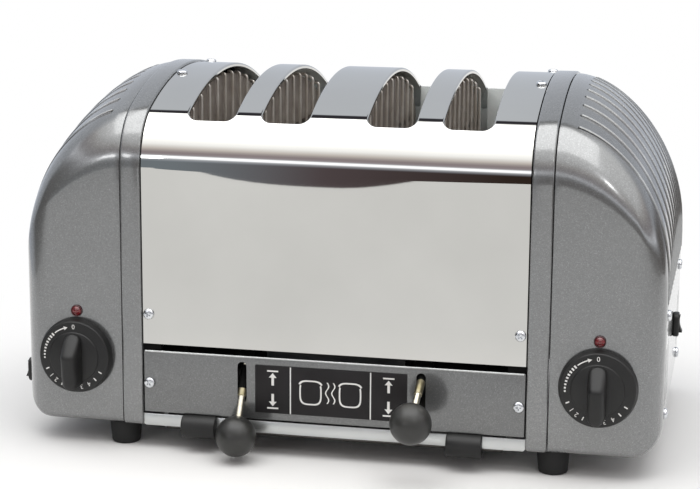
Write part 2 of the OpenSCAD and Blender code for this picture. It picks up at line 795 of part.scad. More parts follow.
module bread_rests(side) {
    color("#c3c5c6") translate([0, 0, raised(side)]) on_side(side)
        for (k = [-1, 1]) translate([pair_x + k * slot_pitch / 2, 0, 0]) {
            box([-rest_w / 2, -plate_y + 2, rest_z - rest_t], [rest_w / 2, plate_y, rest_z]);
            for (s = [-1, 1]) box([s * (rest_w / 2 - rest_t / 2) - rest_t / 2, -plate_y + 2, rest_z - rest_t],
                [s * (rest_w / 2 - rest_t / 2) + rest_t / 2, plate_y, rest_z + rest_lip]);
        }
}

// Controls

module timer_case() {
    front = -half_d + cover_t;
    color("#d9d5c8") difference() {
        box([case_x - timer_w, front, timer_z - timer_w / 2], [case_x, front + timer_d, timer_z + timer_w / 2]);
        translate([timer_x, front + spindle_in, timer_z]) rotate([90, 0, 0])
            cylinder(h = timer_d, d = spindle_d + 2 * fit_gap);
    }
}

module timer_spindle() {
    back = -half_d + cover_t + spindle_in - seam;
    color("#b9bcbd") translate([timer_x, back, timer_z]) rotate([90, 0, 0])
        cylinder(h = back + knob_y + skirt_h + grip_h / 2 - seam, d = spindle_d);
}

module timer_knob() {
    bar_l = knob_d - 12.5;
    bar_drop = 2;
    color("#262625") translate([timer_x, -knob_y, timer_z]) rotate([90, 0, 0]) difference() {
        union() {
            cylinder(h = skirt_h, d1 = knob_d, d2 = knob_d - 2);
            cylinder(h = skirt_h + 1, d1 = 2 * knob_d / 3, d2 = 2 * knob_d / 3 - 1);
            linear_extrude(skirt_h + grip_h) translate([0, -bar_drop])
                round_rect(grip_w, bar_l, grip_w / 2 - 0.5);
        }
        translate([0, 0, -1]) cylinder(h = skirt_h + grip_h / 2 + 1, d = spindle_d + 2 * fit_gap);
    }
}

module lamp() {
    color("#7a2e32") translate([timer_x, -half_d, lamp_z]) rotate([90, 0, 0]) {
        translate([0, 0, -cover_t - 14]) cylinder(h = 14, d = lamp_d + 1.6);
        translate([0, 0, -cover_t - 1]) cylinder(h = cover_t + 2, d = lamp_d);
        translate([0, 0, 1]) cylinder(h = 1.2, d1 = lamp_d, d2 = lamp_d * 0.6);
    }
}

module rocker_housing(y, z) {
    wall = rocker_wall;
    rim = wall + [0.4, 0.4];
    color("#1f1f1f") translate([half_w, y, z]) difference() {
        union() {
            box([-15, -wall[1], -wall[0]], [1, wall[1], wall[0]]);
            along_x(0, rocker_proud) round_rect(2 * rim[1], 2 * rim[0], 3.4);
        }
        box([-6, -rocker_pocket[1], -rocker_pocket[0]],
            [rocker_proud + 1, rocker_pocket[1], rocker_pocket[0]]);
        translate([rocker_out, wall[1] - 0.3, 0]) rotate([90, 0, 0])
            cylinder(h = 2 * wall[1] - 0.6, r = rocker_pin_r + fit_gap);
    }
}

module rocker(y, z) {
    color("#141414") translate([half_w + rocker_out, y, z]) rotate([0, -rocker_tilt, 0]) {
        half = rocker_l / 2;
        along_y(-rocker_w / 2, rocker_w / 2)
            polygon([[-2.5, 0.8 - half], [4, -half], [3, 0], [4, half], [-2.5, half - 0.8]]);
        translate([0, rocker_w / 2 + 1, 0]) rotate([90, 0, 0]) cylinder(h = rocker_w + 2, r = rocker_pin_r);
    }
}

module terminal_block() {
    ways = 3;
    way = terminal_d * 0.875;
    x0 = web_x + web_t;
    color("#e4e0d2") on_side(-1) difference() {
        box([x0, 0, timer_z - terminal_d / 2], [x0 + terminal_d, ways * way, timer_z + terminal_d / 2]);
        for (i = [0:ways - 1])
            translate([x0 + terminal_d / 2, (i + 0.5) * way, timer_z])
                cylinder(h = terminal_d, r = terminal_d / 6);
    }
}

// Crumb tray, drawn out at the rear

module crumb_tray() {
    floor_z = foot_h - tray_drop;
    wall = tray_w / 2;
    front = -half_d + seam + rail_t + run_gap;
    back = half_d - 1;
    top = rail_top - sheet_t;
    color("#cfd1d1") {
        box([-wall, front, floor_z], [wall, back, floor_z + tray_t]);
        box([-wall, front, floor_z], [wall, front + tray_t, top]);
        for (side = [-1, 1]) on_side(side) box([wall - tray_t, front, floor_z], [wall, back, top]);
        box([-wall, back - tray_t, floor_z], [wall, back, top]);
        along_x(-clip_x, clip_x) difference() {
            translate([back, floor_z + 2]) circle(d = 8);
            translate([back - 8 - tray_t / 2, floor_z - 10]) square([8, 20]);
        }
    }
}

// Puts the middle of the body behind the origin, which is under the middle of the whole outline
module placed() {
    translate([0, body_y, 0]) children();
}

vents_left = [-vent_pitch * 4.5, vent_pitch * 4.5, vent_pitch * 5.5, vent_pitch * 6.5];
vents_right = [for (k = [-6.5, -5.5, -4.5, 4.5, 5.5, 6.5]) k * vent_pitch];

placed() base_frame();
placed() tray_runners();
placed() tray_clips();
placed() on_side(-1) end_plate(posts_left);  // end_plate_left
placed() end_plate(posts_right);  // end_plate_right
placed() on_side(-1) end_cover(posts_left, vents_left, rocker_left_y, rocker_left_z);  // end_cover_left
placed() end_cover(posts_right, vents_right, rocker_right_y, rocker_right_z);  // end_cover_right
placed() body_wrap();
placed() front_panel();
placed() rear_panel();
placed() label_plate();
placed() cord_gland();
placed() wrap_screws();
placed() panel_screws();
placed() cover_screws();
placed() front_bulkhead();
placed() rear_bulkhead();
for (i = [0:5]) placed() element(board_x[i]);
placed() element_ribbons();
for (i = [0:3]) placed() slot_guard(slot_x[i]);
placed() guide_rods();
placed() on_side(-1) lever_brackets();  // lever_brackets_left
placed() lever_brackets();  // lever_brackets_right
placed() on_side(-1) timer_case();  // timer_case_left
placed() timer_case();  // timer_case_right
placed() on_side(-1) lamp();  // lamp_left
placed() lamp();  // lamp_right
placed() on_side(-1) rocker_housing(rocker_left_y, rocker_left_z);  // rocker_housing_left
placed() rocker_housing(rocker_right_y, rocker_right_z);  // rocker_housing_right
placed() terminal_block();
placed() feet();
placed() foot_studs();
placed() lever_shaft(-1);  // lever_shaft_left
placed() lever_rod(-1);  // lever_rod_left
placed() lever_ball(-1);  // lever_ball_left
placed() lift_arm(-1);  // lift_arm_left
placed() lever_shaft(1);  // lever_shaft_right
placed() lever_rod(1);  // lever_rod_right
placed() lever_ball(1);  // lever_ball_right
placed() lift_arm(1);  // lift_arm_right
placed() carriage(-1);  // carriage_left
placed() bread_rests(-1);  // bread_rests_left
placed() carriage(1);  // carriage_right
placed() bread_rests(1);  // bread_rests_right
placed() on_side(-1) timer_knob();  // timer_knob_left
placed() on_side(-1) timer_spindle();  // timer_spindle_left
placed() timer_knob();  // timer_knob_right
placed() timer_spindle();  // timer_spindle_right
placed() on_side(-1) rocker(rocker_left_y, rocker_left_z);  // rocker_left
placed() rocker(rocker_right_y, rocker_right_z);  // rocker_right
placed() crumb_tray();
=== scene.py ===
import json
import math

import bpy
from mathutils import Matrix, Vector


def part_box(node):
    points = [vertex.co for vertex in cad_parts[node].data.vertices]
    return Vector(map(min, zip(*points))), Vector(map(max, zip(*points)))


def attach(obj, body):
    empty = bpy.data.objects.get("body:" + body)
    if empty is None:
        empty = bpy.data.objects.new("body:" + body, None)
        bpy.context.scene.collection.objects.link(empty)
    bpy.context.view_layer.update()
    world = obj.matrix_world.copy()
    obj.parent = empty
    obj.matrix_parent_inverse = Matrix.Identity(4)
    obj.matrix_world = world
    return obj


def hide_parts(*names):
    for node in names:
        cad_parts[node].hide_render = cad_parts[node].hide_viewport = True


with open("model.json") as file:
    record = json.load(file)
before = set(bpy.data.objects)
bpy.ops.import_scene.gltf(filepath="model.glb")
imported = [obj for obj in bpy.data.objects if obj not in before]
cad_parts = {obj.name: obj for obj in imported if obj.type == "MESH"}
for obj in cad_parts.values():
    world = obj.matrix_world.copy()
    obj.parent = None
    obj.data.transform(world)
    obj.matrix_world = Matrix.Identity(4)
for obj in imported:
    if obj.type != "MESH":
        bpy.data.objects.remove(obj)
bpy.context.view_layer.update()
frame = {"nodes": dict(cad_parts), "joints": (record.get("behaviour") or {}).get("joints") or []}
nodes = frame["nodes"]
hinges = {joint["name"]: joint for joint in frame["joints"]}
mm = 0.001
ends = ((1, "right"), (-1, "left"))


# sRGB hex to linear RGBA
def linear(code):
    parts = [int(code[i:i + 2], 16) / 255 for i in (1, 3, 5)]
    return [c / 12.92 if c <= 0.04045 else ((c + 0.055) / 1.055) ** 2.4 for c in parts] + [1.0]


# sets a node's values and wires its inputs
def setNode(tree, node, values=None, links=None):
    for key, value in (values or {}).items():
        node.inputs[key].default_value = value
    for key, source in (links or {}).items():
        tree.links.new(source, node.inputs[key])
    return node


# adds one node with its settings
def addNode(tree, kind, values=None, links=None, **settings):
    node = tree.nodes.new(kind)
    for key, value in settings.items():
        setattr(node, key, value)
    return setNode(tree, node, values, links)


# a point in mm about the middle of the body, as metres in the frame
def at(x, y, z):
    return Vector((x, y + bodyY, z)) * mm


# a joint's place in mm about the middle of the body
def jointAt(name):
    x, y, z = [c / mm for c in hinges[name]["pos_m"]]
    return x, y - bodyY, z


def selectOnly(*parts):
    if bpy.context.mode != "OBJECT":
        bpy.ops.object.mode_set(mode="OBJECT")
    bpy.ops.object.select_all(action="DESELECT")
    for part in parts:
        part.select_set(True)
    bpy.context.view_layer.objects.active = parts[0]


# names the primitive that was just added
def namePiece(name):
    piece = bpy.context.object
    piece.name = piece.data.name = name
    return piece


# merges doubled points and turns the faces outwards
def closeUp(piece):
    selectOnly(piece)
    bpy.ops.object.mode_set(mode="EDIT")
    bpy.ops.mesh.select_all(action="SELECT")
    bpy.ops.mesh.remove_doubles(threshold=2e-6)
    bpy.ops.mesh.normals_make_consistent(inside=False)
    bpy.ops.object.mode_set(mode="OBJECT")
    return piece


# a grid primitive laid over a surface: place(i, j) gives the point of each crossing
def gridPiece(name, across, along, place):
    bpy.ops.object.select_all(action="DESELECT")
    bpy.ops.mesh.primitive_grid_add(x_subdivisions=across, y_subdivisions=along, size=1)
    piece = namePiece(name)
    for vertex in piece.data.vertices:
        vertex.co = place(round((vertex.co.x + 0.5) * across), round((vertex.co.y + 0.5) * along))
    return closeUp(piece)


# a flat outline of (a, b) pairs pushed out along X, Y or Z
def platePiece(name, outline, axis, start, end):
    bpy.ops.object.select_all(action="DESELECT")
    bpy.ops.mesh.primitive_circle_add(vertices=len(outline), fill_type="NGON")
    piece = namePiece(name)
    lift = {"X": lambda a, b, c: at(c, a, b),
            "Y": lambda a, b, c: at(a, c, b),
            "Z": lambda a, b, c: at(a, b, c)}[axis]
    for vertex, (a, b) in zip(piece.data.vertices, outline):
        vertex.co = lift(a, b, start)
    bpy.ops.object.mode_set(mode="EDIT")
    bpy.ops.mesh.select_all(action="SELECT")
    step = lift(0, 0, end) - lift(0, 0, start)
    bpy.ops.mesh.extrude_region_move(TRANSFORM_OT_translate={"value": step})
    return closeUp(piece)


# a turned part: (radius, height) pairs spun round Z
def turnedPiece(name, profile, steps=48):
    def place(i, j):
        radius, height = profile[j]
        turn = 2 * math.pi * i / steps
        return Vector((radius * math.cos(turn), radius * math.sin(turn), height)) * mm
    return gridPiece(name, steps, len(profile) - 1, place)


# a round bar along a list of points, with closed ends
def tubePiece(name, path, radius, sides=10, side=(0, 1, 0)):
    points = [Vector(p) for p in path]
    rows = []
    for k, point in enumerate(points):
        tangent = (points[min(k + 1, len(points) - 1)] - points[max(k - 1, 0)]).normalized()
        across = Vector(side)
        rows.append((point, across, tangent.cross(across).normalized()))
    rings = [(rows[0], 0)] + [(row, radius) for row in rows] + [(rows[-1], 0)]

    def place(i, j):
        (point, a, b), size = rings[j]
        turn = 2 * math.pi * i / sides
        spot = point + (a * math.cos(turn) + b * math.sin(turn)) * size
        return at(spot.x, spot.y, spot.z)
    return gridPiece(name, sides, len(rings) - 1, place)


def applyTo(piece, modifier):
    selectOnly(piece)
    bpy.ops.object.modifier_apply(modifier=modifier.name)
    return piece


def softenEdges(piece, width, segments=2, angle=40):
    bevel = piece.modifiers.new("soft", "BEVEL")
    bevel.width, bevel.segments = width * mm, segments
    bevel.limit_method, bevel.angle_limit = "ANGLE", math.radians(angle)
    return applyTo(piece, bevel)


# gives a skin its thickness, inwards
def thicken(piece, thickness, even=False):
    wall = piece.modifiers.new("wall", "SOLIDIFY")
    wall.thickness, wall.offset, wall.use_even_offset = thickness * mm, -1, even
    return applyTo(piece, wall)


def boxPiece(name, low, high, soft=0.4, segments=2):
    bpy.ops.object.select_all(action="DESELECT")
    bpy.ops.mesh.primitive_cube_add(size=1)
    piece = namePiece(name)
    low, high = at(*low), at(*high)
    for vertex in piece.data.vertices:
        vertex.co = Vector([low[k] if vertex.co[k] < 0 else high[k] for k in range(3)])
    return softenEdges(piece, soft, segments) if soft else piece


def joinPieces(name, parts):
    selectOnly(*parts)
    if len(parts) > 1:
        bpy.ops.object.join()
    parts[0].name = parts[0].data.name = name
    return parts[0]


def cutAway(piece, cutters):
    cutter = joinPieces("cutter", cutters)
    trim = piece.modifiers.new("cut", "BOOLEAN")
    trim.operation, trim.solver, trim.object = "DIFFERENCE", "EXACT", cutter
    applyTo(piece, trim)
    bpy.data.objects.remove(cutter)
    return piece


# stands a part made about Z on a point, with its Z along a direction
def stand(piece, point, direction=(0, 0, 1), roll=0):
    turn = Vector(direction).to_track_quat("Z", "Y").to_matrix().to_4x4()
    spin = Matrix.Rotation(math.radians(roll), 4, "Z")
    piece.data.transform(Matrix.Translation(at(*point)) @ turn @ spin)
    return piece


def copyPiece(piece, name):
    twin = piece.copy()
    twin.data = piece.data.copy()
    twin.name = twin.data.name = name
    bpy.context.scene.collection.objects.link(twin)
    return twin


# turns a part into the one for the other end
def flipSide(piece):
    piece.data.transform(Matrix.Scale(-1, 4, (1, 0, 0)))
    piece.data.flip_normals()
    return piece


def paintPiece(piece, material):
    piece.data.materials.clear()
    piece.data.materials.append(material)


def finishPiece(piece, material, body, replaced=(), angle=35):
    selectOnly(piece)
    bpy.ops.object.shade_smooth_by_angle(angle=math.radians(angle))
    paintPiece(piece, material)
    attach(piece, body)
    if replaced:
        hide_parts(*replaced)


wrapLow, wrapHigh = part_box("body_wrap")
coverLow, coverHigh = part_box("end_cover_right")
panelLow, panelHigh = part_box("front_panel")
bodyY = (wrapLow.y + wrapHigh.y) / 2 / mm
halfD = (wrapHigh.y - wrapLow.y) / 2 / mm
wrapX, wrapTop, wrapBottom = wrapHigh.x / mm, wrapHigh.z / mm, wrapLow.z / mm
coverX, halfW, footH = coverLow.x / mm, coverHigh.x / mm, coverLow.z / mm
panelBottom, panelTop = panelLow.z / mm, panelHigh.z / mm
arch = {"shoulder": 36, "crown": 200}
crownZ = wrapTop - arch["crown"]
shoulderY = halfD - arch["shoulder"]
shoulderZ = crownZ + math.sqrt((arch["crown"] - arch["shoulder"]) ** 2 - shoulderY ** 2)
crownHalf = math.asin(shoulderY / (arch["crown"] - arch["shoulder"]))
leverSlope = {"left": 58, "right": 25.5}  # degrees below level in the rest pose


# the arched side profile from front to rear, grown outwards, as (y, z) pairs
def archLine(grow, low, wallSteps, shoulderSteps, crownSteps):
    shoulder, roof = arch["shoulder"] + grow, arch["crown"] + grow
    front = [(-halfD - grow, low + (shoulderZ - low) * k / wallSteps) for k in range(wallSteps)]
    for k in range(shoulderSteps):
        turn = math.pi - (math.pi / 2 - crownHalf) * k / shoulderSteps
        front.append((-shoulderY + shoulder * math.cos(turn), shoulderZ + shoulder * math.sin(turn)))
    crown = []
    for k in range(crownSteps + 1):
        turn = crownHalf * (2 * k / crownSteps - 1)
        crown.append((roof * math.sin(turn), crownZ + roof * math.cos(turn)))
    return front + crown + [(-y, z) for y, z in reversed(front)]


# height of that profile at a distance from the middle
def roofAt(y, grow=0):
    if abs(y) < (arch["crown"] + grow) * math.sin(crownHalf):
        return crownZ + math.sqrt((arch["crown"] + grow) ** 2 - y * y)
    return shoulderZ + math.sqrt(max((arch["shoulder"] + grow) ** 2 - (abs(y) - shoulderY) ** 2, 0))


# a rectangle with round corners, as (a, b) pairs
def roundRect(width, height, corner, steps=8, sideSteps=1):
    line = []
    for k, (sx, sy) in enumerate(((1, 1), (-1, 1), (-1, -1), (1, -1))):
        for s in range(steps + 1):
            turn = math.pi / 2 * (k + s / steps)
            line.append((sx * (width / 2 - corner) + corner * math.cos(turn),
                         sy * (height / 2 - corner) + corner * math.sin(turn)))
        if k in (1, 3):
            y0, y1 = sy * (height / 2 - corner), -sy * (height / 2 - corner)
            line += [(sx * width / 2, y0 + (y1 - y0) * s / sideSteps) for s in range(1, sideSteps)]
    return line


# a long hole with round ends, as (a, b) pairs
def longHole(width, length, steps=8):
    half = []
    for k in range(steps + 1):
        turn = math.pi * k / steps
        half.append((width / 2 * math.cos(turn), length / 2 - width / 2 + width / 2 * math.sin(turn)))
    return half + [(-a, -b) for a, b in half]


# half a round from its foot to its top, standing out by a share of its radius, as (a, b) pairs
def halfRound(a, b, radius, steps, share=1):
    turns = [math.pi * k / steps for k in range(steps + 1)]
    return [(a + share * radius * math.sin(turn), b - radius * math.cos(turn)) for turn in turns]


def signedPower(value, power):
    return math.copysign(abs(value) ** power, value)


def newMaterial(name):
    material = bpy.data.materials.new(name)
    material.use_nodes = True
    tree = material.node_tree
    place = addNode(tree, "ShaderNodeTexCoord").outputs["Object"]
    return material, tree, tree.nodes["Principled BSDF"], place


# fills a colour ramp from (position, hex) pairs, or (position, hex, alpha)
def setRamp(ramp, stops):
    while len(ramp.elements) < len(stops):
        ramp.elements.new(0.5)
    for element, stop in zip(ramp.elements, stops):
        element.position = stop[0]
        element.color = linear(stop[1])[:3] + [stop[2] if len(stop) > 2 else 1.0]


enamelSpec = {"flake": 0.38, "cloud": 45, "shade": (0.94, 1.05), "rough": (0.16, 0.24), "peel": 1.8,
              "peelStrength": 0.06, "peelDepth": 0.04, "metal": 0.55, "coat": 0.7, "coatRough": 0.05}


# metallic charcoal enamel: a grey coat with flakes, a few of them bright, and a faint orange peel;
# the flakes are drawn coarser than real ones so that they show
def makeEnamel(name, dark, middle, light, spark):
    spec = enamelSpec
    material, tree, shader, place = newMaterial(name)
    flakes = addNode(tree, "ShaderNodeTexVoronoi", {"Scale": 1 / (spec["flake"] * mm)}, {"Vector": place})
    chance = addNode(tree, "ShaderNodeSeparateXYZ", None, {"Vector": flakes.outputs["Color"]})
    tone = addNode(tree, "ShaderNodeValToRGB", None, {"Fac": chance.outputs["X"]})
    setRamp(tone.color_ramp, [(0.0, dark), (0.5, middle), (0.9, light), (1.0, spark)])
    cloud = addNode(tree, "ShaderNodeTexNoise", {"Scale": 1 / (spec["cloud"] * mm), "Detail": 3},
                    {"Vector": place})
    shade = addNode(tree, "ShaderNodeMapRange", {"To Min": spec["shade"][0], "To Max": spec["shade"][1]},
                    {"Value": cloud.outputs["Fac"]})
    mixed = addNode(tree, "ShaderNodeVectorMath", None,
                    {0: tone.outputs["Color"], 1: shade.outputs["Result"]}, operation="MULTIPLY")
    gloss = addNode(tree, "ShaderNodeMapRange", {"To Min": spec["rough"][0], "To Max": spec["rough"][1]},
                    {"Value": chance.outputs["Y"]})
    peel = addNode(tree, "ShaderNodeTexNoise", {"Scale": 1 / (spec["peel"] * mm), "Detail": 1},
                   {"Vector": place})
    relief = addNode(tree, "ShaderNodeBump",
                     {"Strength": spec["peelStrength"], "Distance": spec["peelDepth"] * mm},
                     {"Height": peel.outputs["Fac"]})
    setNode(tree, shader,
            {"Metallic": spec["metal"], "Coat Weight": spec["coat"], "Coat Roughness": spec["coatRough"]},
            {"Base Color": mixed.outputs["Vector"], "Roughness": gloss.outputs["Result"],
             "Normal": relief.outputs["Normal"]})
    return material


sheetSpec = {"grainSize": 0.5, "relief": 0.1}


# rolled sheet: metal with a fine grain drawn along one axis and patches of cleaner and duller metal
def makeSheetMetal(name, dark, light, grain, rough, bump, patch, metal=1.0):
    material, tree, shader, place = newMaterial(name)
    drawn = addNode(tree, "ShaderNodeMapping", {"Scale": grain}, {"Vector": place})
    lines = addNode(tree, "ShaderNodeTexNoise", {"Scale": 1 / (sheetSpec["grainSize"] * mm), "Detail": 3},
                    {"Vector": drawn.outputs["Vector"]})
    cloud = addNode(tree, "ShaderNodeTexNoise", {"Scale": 1 / (patch * mm), "Detail": 4}, {"Vector": place})
    tone = addNode(tree, "ShaderNodeValToRGB", None, {"Fac": cloud.outputs["Fac"]})
    setRamp(tone.color_ramp, [(0.3, dark), (0.7, light)])
    gloss = addNode(tree, "ShaderNodeMapRange", {"To Min": rough[0], "To Max": rough[1]},
                    {"Value": lines.outputs["Fac"]})
    relief = addNode(tree, "ShaderNodeBump", {"Strength": sheetSpec["relief"], "Distance": bump * mm},
                     {"Height": lines.outputs["Fac"]})
    setNode(tree, shader, {"Metallic": metal},
            {"Base Color": tone.outputs["Color"], "Roughness": gloss.outputs["Result"],
             "Normal": relief.outputs["Normal"]})
    return material


mouldingSpec = {"relief": 0.25}


# moulded or rubbery surface: one colour with a fine grain and slight unevenness
def makeMoulding(name, dark, light, grain, rough, bump, patch=18, shine=0.5):
    material, tree, shader, place = newMaterial(name)
    pores = addNode(tree, "ShaderNodeTexNoise", {"Scale": 1 / (grain * mm), "Detail": 2}, {"Vector": place})
    cloud = addNode(tree, "ShaderNodeTexNoise", {"Scale": 1 / (patch * mm), "Detail": 4}, {"Vector": place})
    tone = addNode(tree, "ShaderNodeValToRGB", None, {"Fac": cloud.outputs["Fac"]})
    setRamp(tone.color_ramp, [(0.3, dark), (0.75, light)])
    gloss = addNode(tree, "ShaderNodeMapRange", {"To Min": rough[0], "To Max": rough[1]},
                    {"Value": cloud.outputs["Fac"]})
    relief = addNode(tree, "ShaderNodeBump", {"Strength": mouldingSpec["relief"], "Distance": bump * mm},
                     {"Height": pores.outputs["Fac"]})
    setNode(tree, shader, {"Specular IOR Level": shine},
            {"Base Color": tone.outputs["Color"], "Roughness": gloss.outputs["Result"],
             "Normal": relief.outputs["Normal"]})
    return material


# castings and bands: grey with a fine sparkle
enamel = makeEnamel("charcoalEnamel", "#797a7a", "#818282", "#8a8b8b", "#9a9b9b")
# the same coat painted darker on the upright flat sheet, as painted shade
shadedPanelEnamel = makeEnamel("charcoalEnamelShadedSheet", "#686969", "#6f7070", "#767777", "#868787")
# the coat painted pale along the vent and panel edges: a painted highlight where they catch the light
highlightEnamel = makeEnamel("paintedHighlightEnamel", "#b4b6b5", "#c2c4c3", "#d0d2d1", "#dcdddc")
# a clear mirror
stainless = makeSheetMetal("polishedStainless", "#c4c3bf", "#cccbc7", grain=(0.01, 1, 1),
                           rough=(0.012, 0.03), bump=0.001, patch=90)
# pale satin strip
bareSteel = makeSheetMetal("bareZincSheet", "#c2c5c4", "#d2d4d3", grain=(0.03, 1, 1),
                           rough=(0.24, 0.36), bump=0.02, patch=60, metal=0.9)
# dull browned tray
traySteel = makeSheetMetal("heatDulledSteel", "#4a4846", "#5c5a57", grain=(0.03, 1, 1),
                           rough=(0.55, 0.75), bump=0.02, patch=25, metal=0.6)
# dull spangled plate
galvanised = makeSheetMetal("galvanisedSheet", "#a9aeae", "#cfd3d2", grain=(0.2, 1, 0.2),
                            rough=(0.34, 0.52), bump=0.02, patch=9)
# zinc plate seen through the slots, painted near white: painted light for the light that falls in through the
# slots
paintedLightZinc = makeSheetMetal("paintedLightZincSheet", "#dde3e1", "#eef1f0", grain=(0.2, 1, 0.2),
                            rough=(0.5, 0.7), bump=0.02, patch=12, metal=0.1)
# bright bluish screw heads
zincScrew = makeSheetMetal("brightZinc", "#c9ccd0", "#e6e8ea", grain=(1, 1, 1),
                           rough=(0.16, 0.30), bump=0.01, patch=4)
# warm plated rod
nickel = makeSheetMetal("nickelRod", "#c4bfae", "#dcd8c9", grain=(1, 1, 0.05),
                        rough=(0.14, 0.24), bump=0.01, patch=6)
# yellowish collar
brassNickel = makeSheetMetal("brassTintedSleeve", "#928a6c", "#aba38a", grain=(1, 1, 0.1),
                             rough=(0.24, 0.38), bump=0.01, patch=3)
# heat-tinted wire
guardWire = makeSheetMetal("drawnGuardWire", "#cfc6ba", "#efebe4", grain=(1, 1, 0.1),
                           rough=(0.3, 0.45), bump=0.01, patch=14, metal=0.5)
# brown-grey heating ribbon
ribbonAlloy = makeSheetMetal("oxidisedRibbon", "#5a5049", "#8b8078", grain=(1, 0.1, 1),
                             rough=(0.4, 0.6), bump=0.02, patch=8)
# satin black with a soft highlight
phenolic = makeMoulding("phenolicBall", "#272726", "#32322f", grain=0.5, rough=(0.30, 0.40), bump=0.01)
# moulded black knobs and clips
blackAbs = makeMoulding("blackMoulding", "#171717", "#222221", grain=0.35, rough=(0.38, 0.50), bump=0.02,
                        shine=0.4)
# matt black for parts seen in gaps: painted shade, standing in for the dark there
shadeBlack = makeMoulding("paintedShadeBlack", "#0b0b0b", "#131313", grain=0.6, rough=(0.75, 0.9), bump=0.01,
                          shine=0.1)
# flat black plate
labelBlack = makeMoulding("anodisedLabel", "#1d1b1c", "#252324", grain=0.4, rough=(0.42, 0.54), bump=0.005,
                          shine=0.25)
# printed marks
whiteInk = makeMoulding("whiteInk", "#e4e3df", "#f2f1ee", grain=0.4, rough=(0.55, 0.7), bump=0.005)
# matt feet
rubber = makeMoulding("footRubber", "#121212", "#1f1f1e", grain=0.6, rough=(0.7, 0.88), bump=0.04)
# pale brown flaky board
mica = makeMoulding("micaBoard", "#8d837a", "#aaa198", grain=1.2, rough=(0.6, 0.85), bump=0.05, patch=7)
# dark red ring round the lens
rimRed = makeMoulding("redLampRim", "#3a1115", "#4a191d", grain=0.5, rough=(0.25, 0.35), bump=0.005)
# pale switch cases
creamPlastic = makeMoulding("creamMoulding", "#cfc9b8", "#ded9ca", grain=0.5, rough=(0.45, 0.6), bump=0.01)

# clear red lens over a small lamp: deep red with a gloss of its own
lensRed, lensTree, lensShader, lensPlace = newMaterial("redLens")
lensCloud = addNode(lensTree, "ShaderNodeTexNoise", {"Scale": 1 / (1.5 * mm), "Detail": 2},
                    {"Vector": lensPlace})
lensTone = addNode(lensTree, "ShaderNodeValToRGB", None, {"Fac": lensCloud.outputs["Fac"]})
setRamp(lensTone.color_ramp, [(0.3, "#5a1216"), (0.75, "#8c2a2f")])
setNode(lensTree, lensShader, {"Roughness": 0.14, "Coat Weight": 0.6},
        {"Base Color": lensTone.outputs["Color"]})
print("finishes made")


wrapSpec = {"sheet": 1.2, "slotX": (-74.25, -30.75, 30.75, 74.25), "slotWidth": 28, "slotLength": 177,
            "slotCorner": 6, "lip": 2.2, "lipRound": 1.0, "edgeGap": 0.7, "cutDeep": 30, "cutOver": 10,
            "columns": 60, "lineSteps": (8, 48, 128), "cornerSteps": 10, "sideSteps": 44, "lipSteps": 6}


# outline of a slot, grown outwards
def slotLine(grow, sideSteps=1):
    spec = wrapSpec
    return roundRect(spec["slotWidth"] + 2 * grow, spec["slotLength"] + 2 * grow,
                     spec["slotCorner"] + grow, spec["cornerSteps"], sideSteps)


sheetX, columns = wrapX - wrapSpec["edgeGap"], wrapSpec["columns"]
wrapLine = archLine(0, wrapBottom, *wrapSpec["lineSteps"])
wrap = gridPiece("bodyWrap", columns, len(wrapLine) - 1,
                 lambda i, j: at(sheetX * (2 * i / columns - 1), *wrapLine[j]))
thicken(wrap, wrapSpec["sheet"])
wrapSheet, curl, lip = wrapSpec["sheet"], wrapSpec["lipRound"], wrapSpec["lip"]
cutAway(wrap, [platePiece("slotCut", [(x + a, b) for a, b in slotLine(curl)], "Z",
                          shoulderZ - wrapSpec["cutDeep"], wrapTop + wrapSpec["cutOver"])
               for x in wrapSpec["slotX"]])
# section of a slot's rolled lip: pairs of distance out from the slot and down from the roof
lipTurns = [math.pi / 2 * k / wrapSpec["lipSteps"] for k in range(wrapSpec["lipSteps"] + 1)]
lipRows = [(curl * (1 - math.sin(turn)), curl * (1 - math.cos(turn))) for turn in lipTurns]
lipRows += [(0, lip), (wrapSheet, lip), (wrapSheet, wrapSheet), (curl, wrapSheet), (curl, 0)]
lips = []
for x in wrapSpec["slotX"]:
    loops = []
    for grow, drop in lipRows:
        line = slotLine(grow, wrapSpec["sideSteps"])
        loops.append([at(x + a, b, roofAt(b) - drop) for a, b in line])
    count = len(loops[0])
    lips.append(gridPiece("slotLip", count, len(loops) - 1, lambda i, j: loops[j][i % count]))
wrap = joinPieces("bodyWrap", [wrap] + lips)
finishPiece(wrap, stainless, "body", ["body_wrap"], 30)
# the inside of the sheet is left dull, in the near-white zinc whose paleness is painted light
wrap.data.materials.append(paintedLightZinc)
for face in wrap.data.polygons:
    if face.normal.dot(face.center - at(0, 0, shoulderZ)) < 0 and abs(face.normal.x) < 0.5:
        face.material_index = 1
print("wrap done")


coverSpec = {"wall": 3, "drop": 85, "power": 1.75, "edge": 20, "sill": 16.5, "foot": 4, "lead": 0.8,
             "gap": 0.4, "ventPitch": 12.6, "ventWidth": 2.6, "ventCount": 14, "ventLow": 98,
             "ventStart": 10, "ventReach": 120, "lowVentZ": (40.4, 73.4),
             "lowVents": {1: (-6.5, -5.5, -4.5, 4.5, 5.5, 6.5), -1: (-4.5, 4.5, 5.5, 6.5)},
             "bead": 0.75, "beadSink": 0.35, "spindleHole": 4, "switchHole": (4.9, 6.9),
             "cutOver": 4, "ventDeep": 6, "switchDeep": 8, "frontOver": 5, "frontDeep": 12}
coverSteps = {"length": 44, "cap": 5, "floor": 10, "corner": 6, "wall": 14, "arch": (1, 20, 44), "bead": 40}
coverLong = halfW - coverX
ventMiddle = (coverSpec["ventCount"] - 1) / 2
ventRows = [coverSpec["ventPitch"] * (k - ventMiddle) for k in range(coverSpec["ventCount"])]


# how far a rounded edge is drawn in at a depth below its crest
def roundIn(radius, depth):
    return radius - math.sqrt(radius ** 2 - (radius - depth) ** 2) if depth < radius else 0


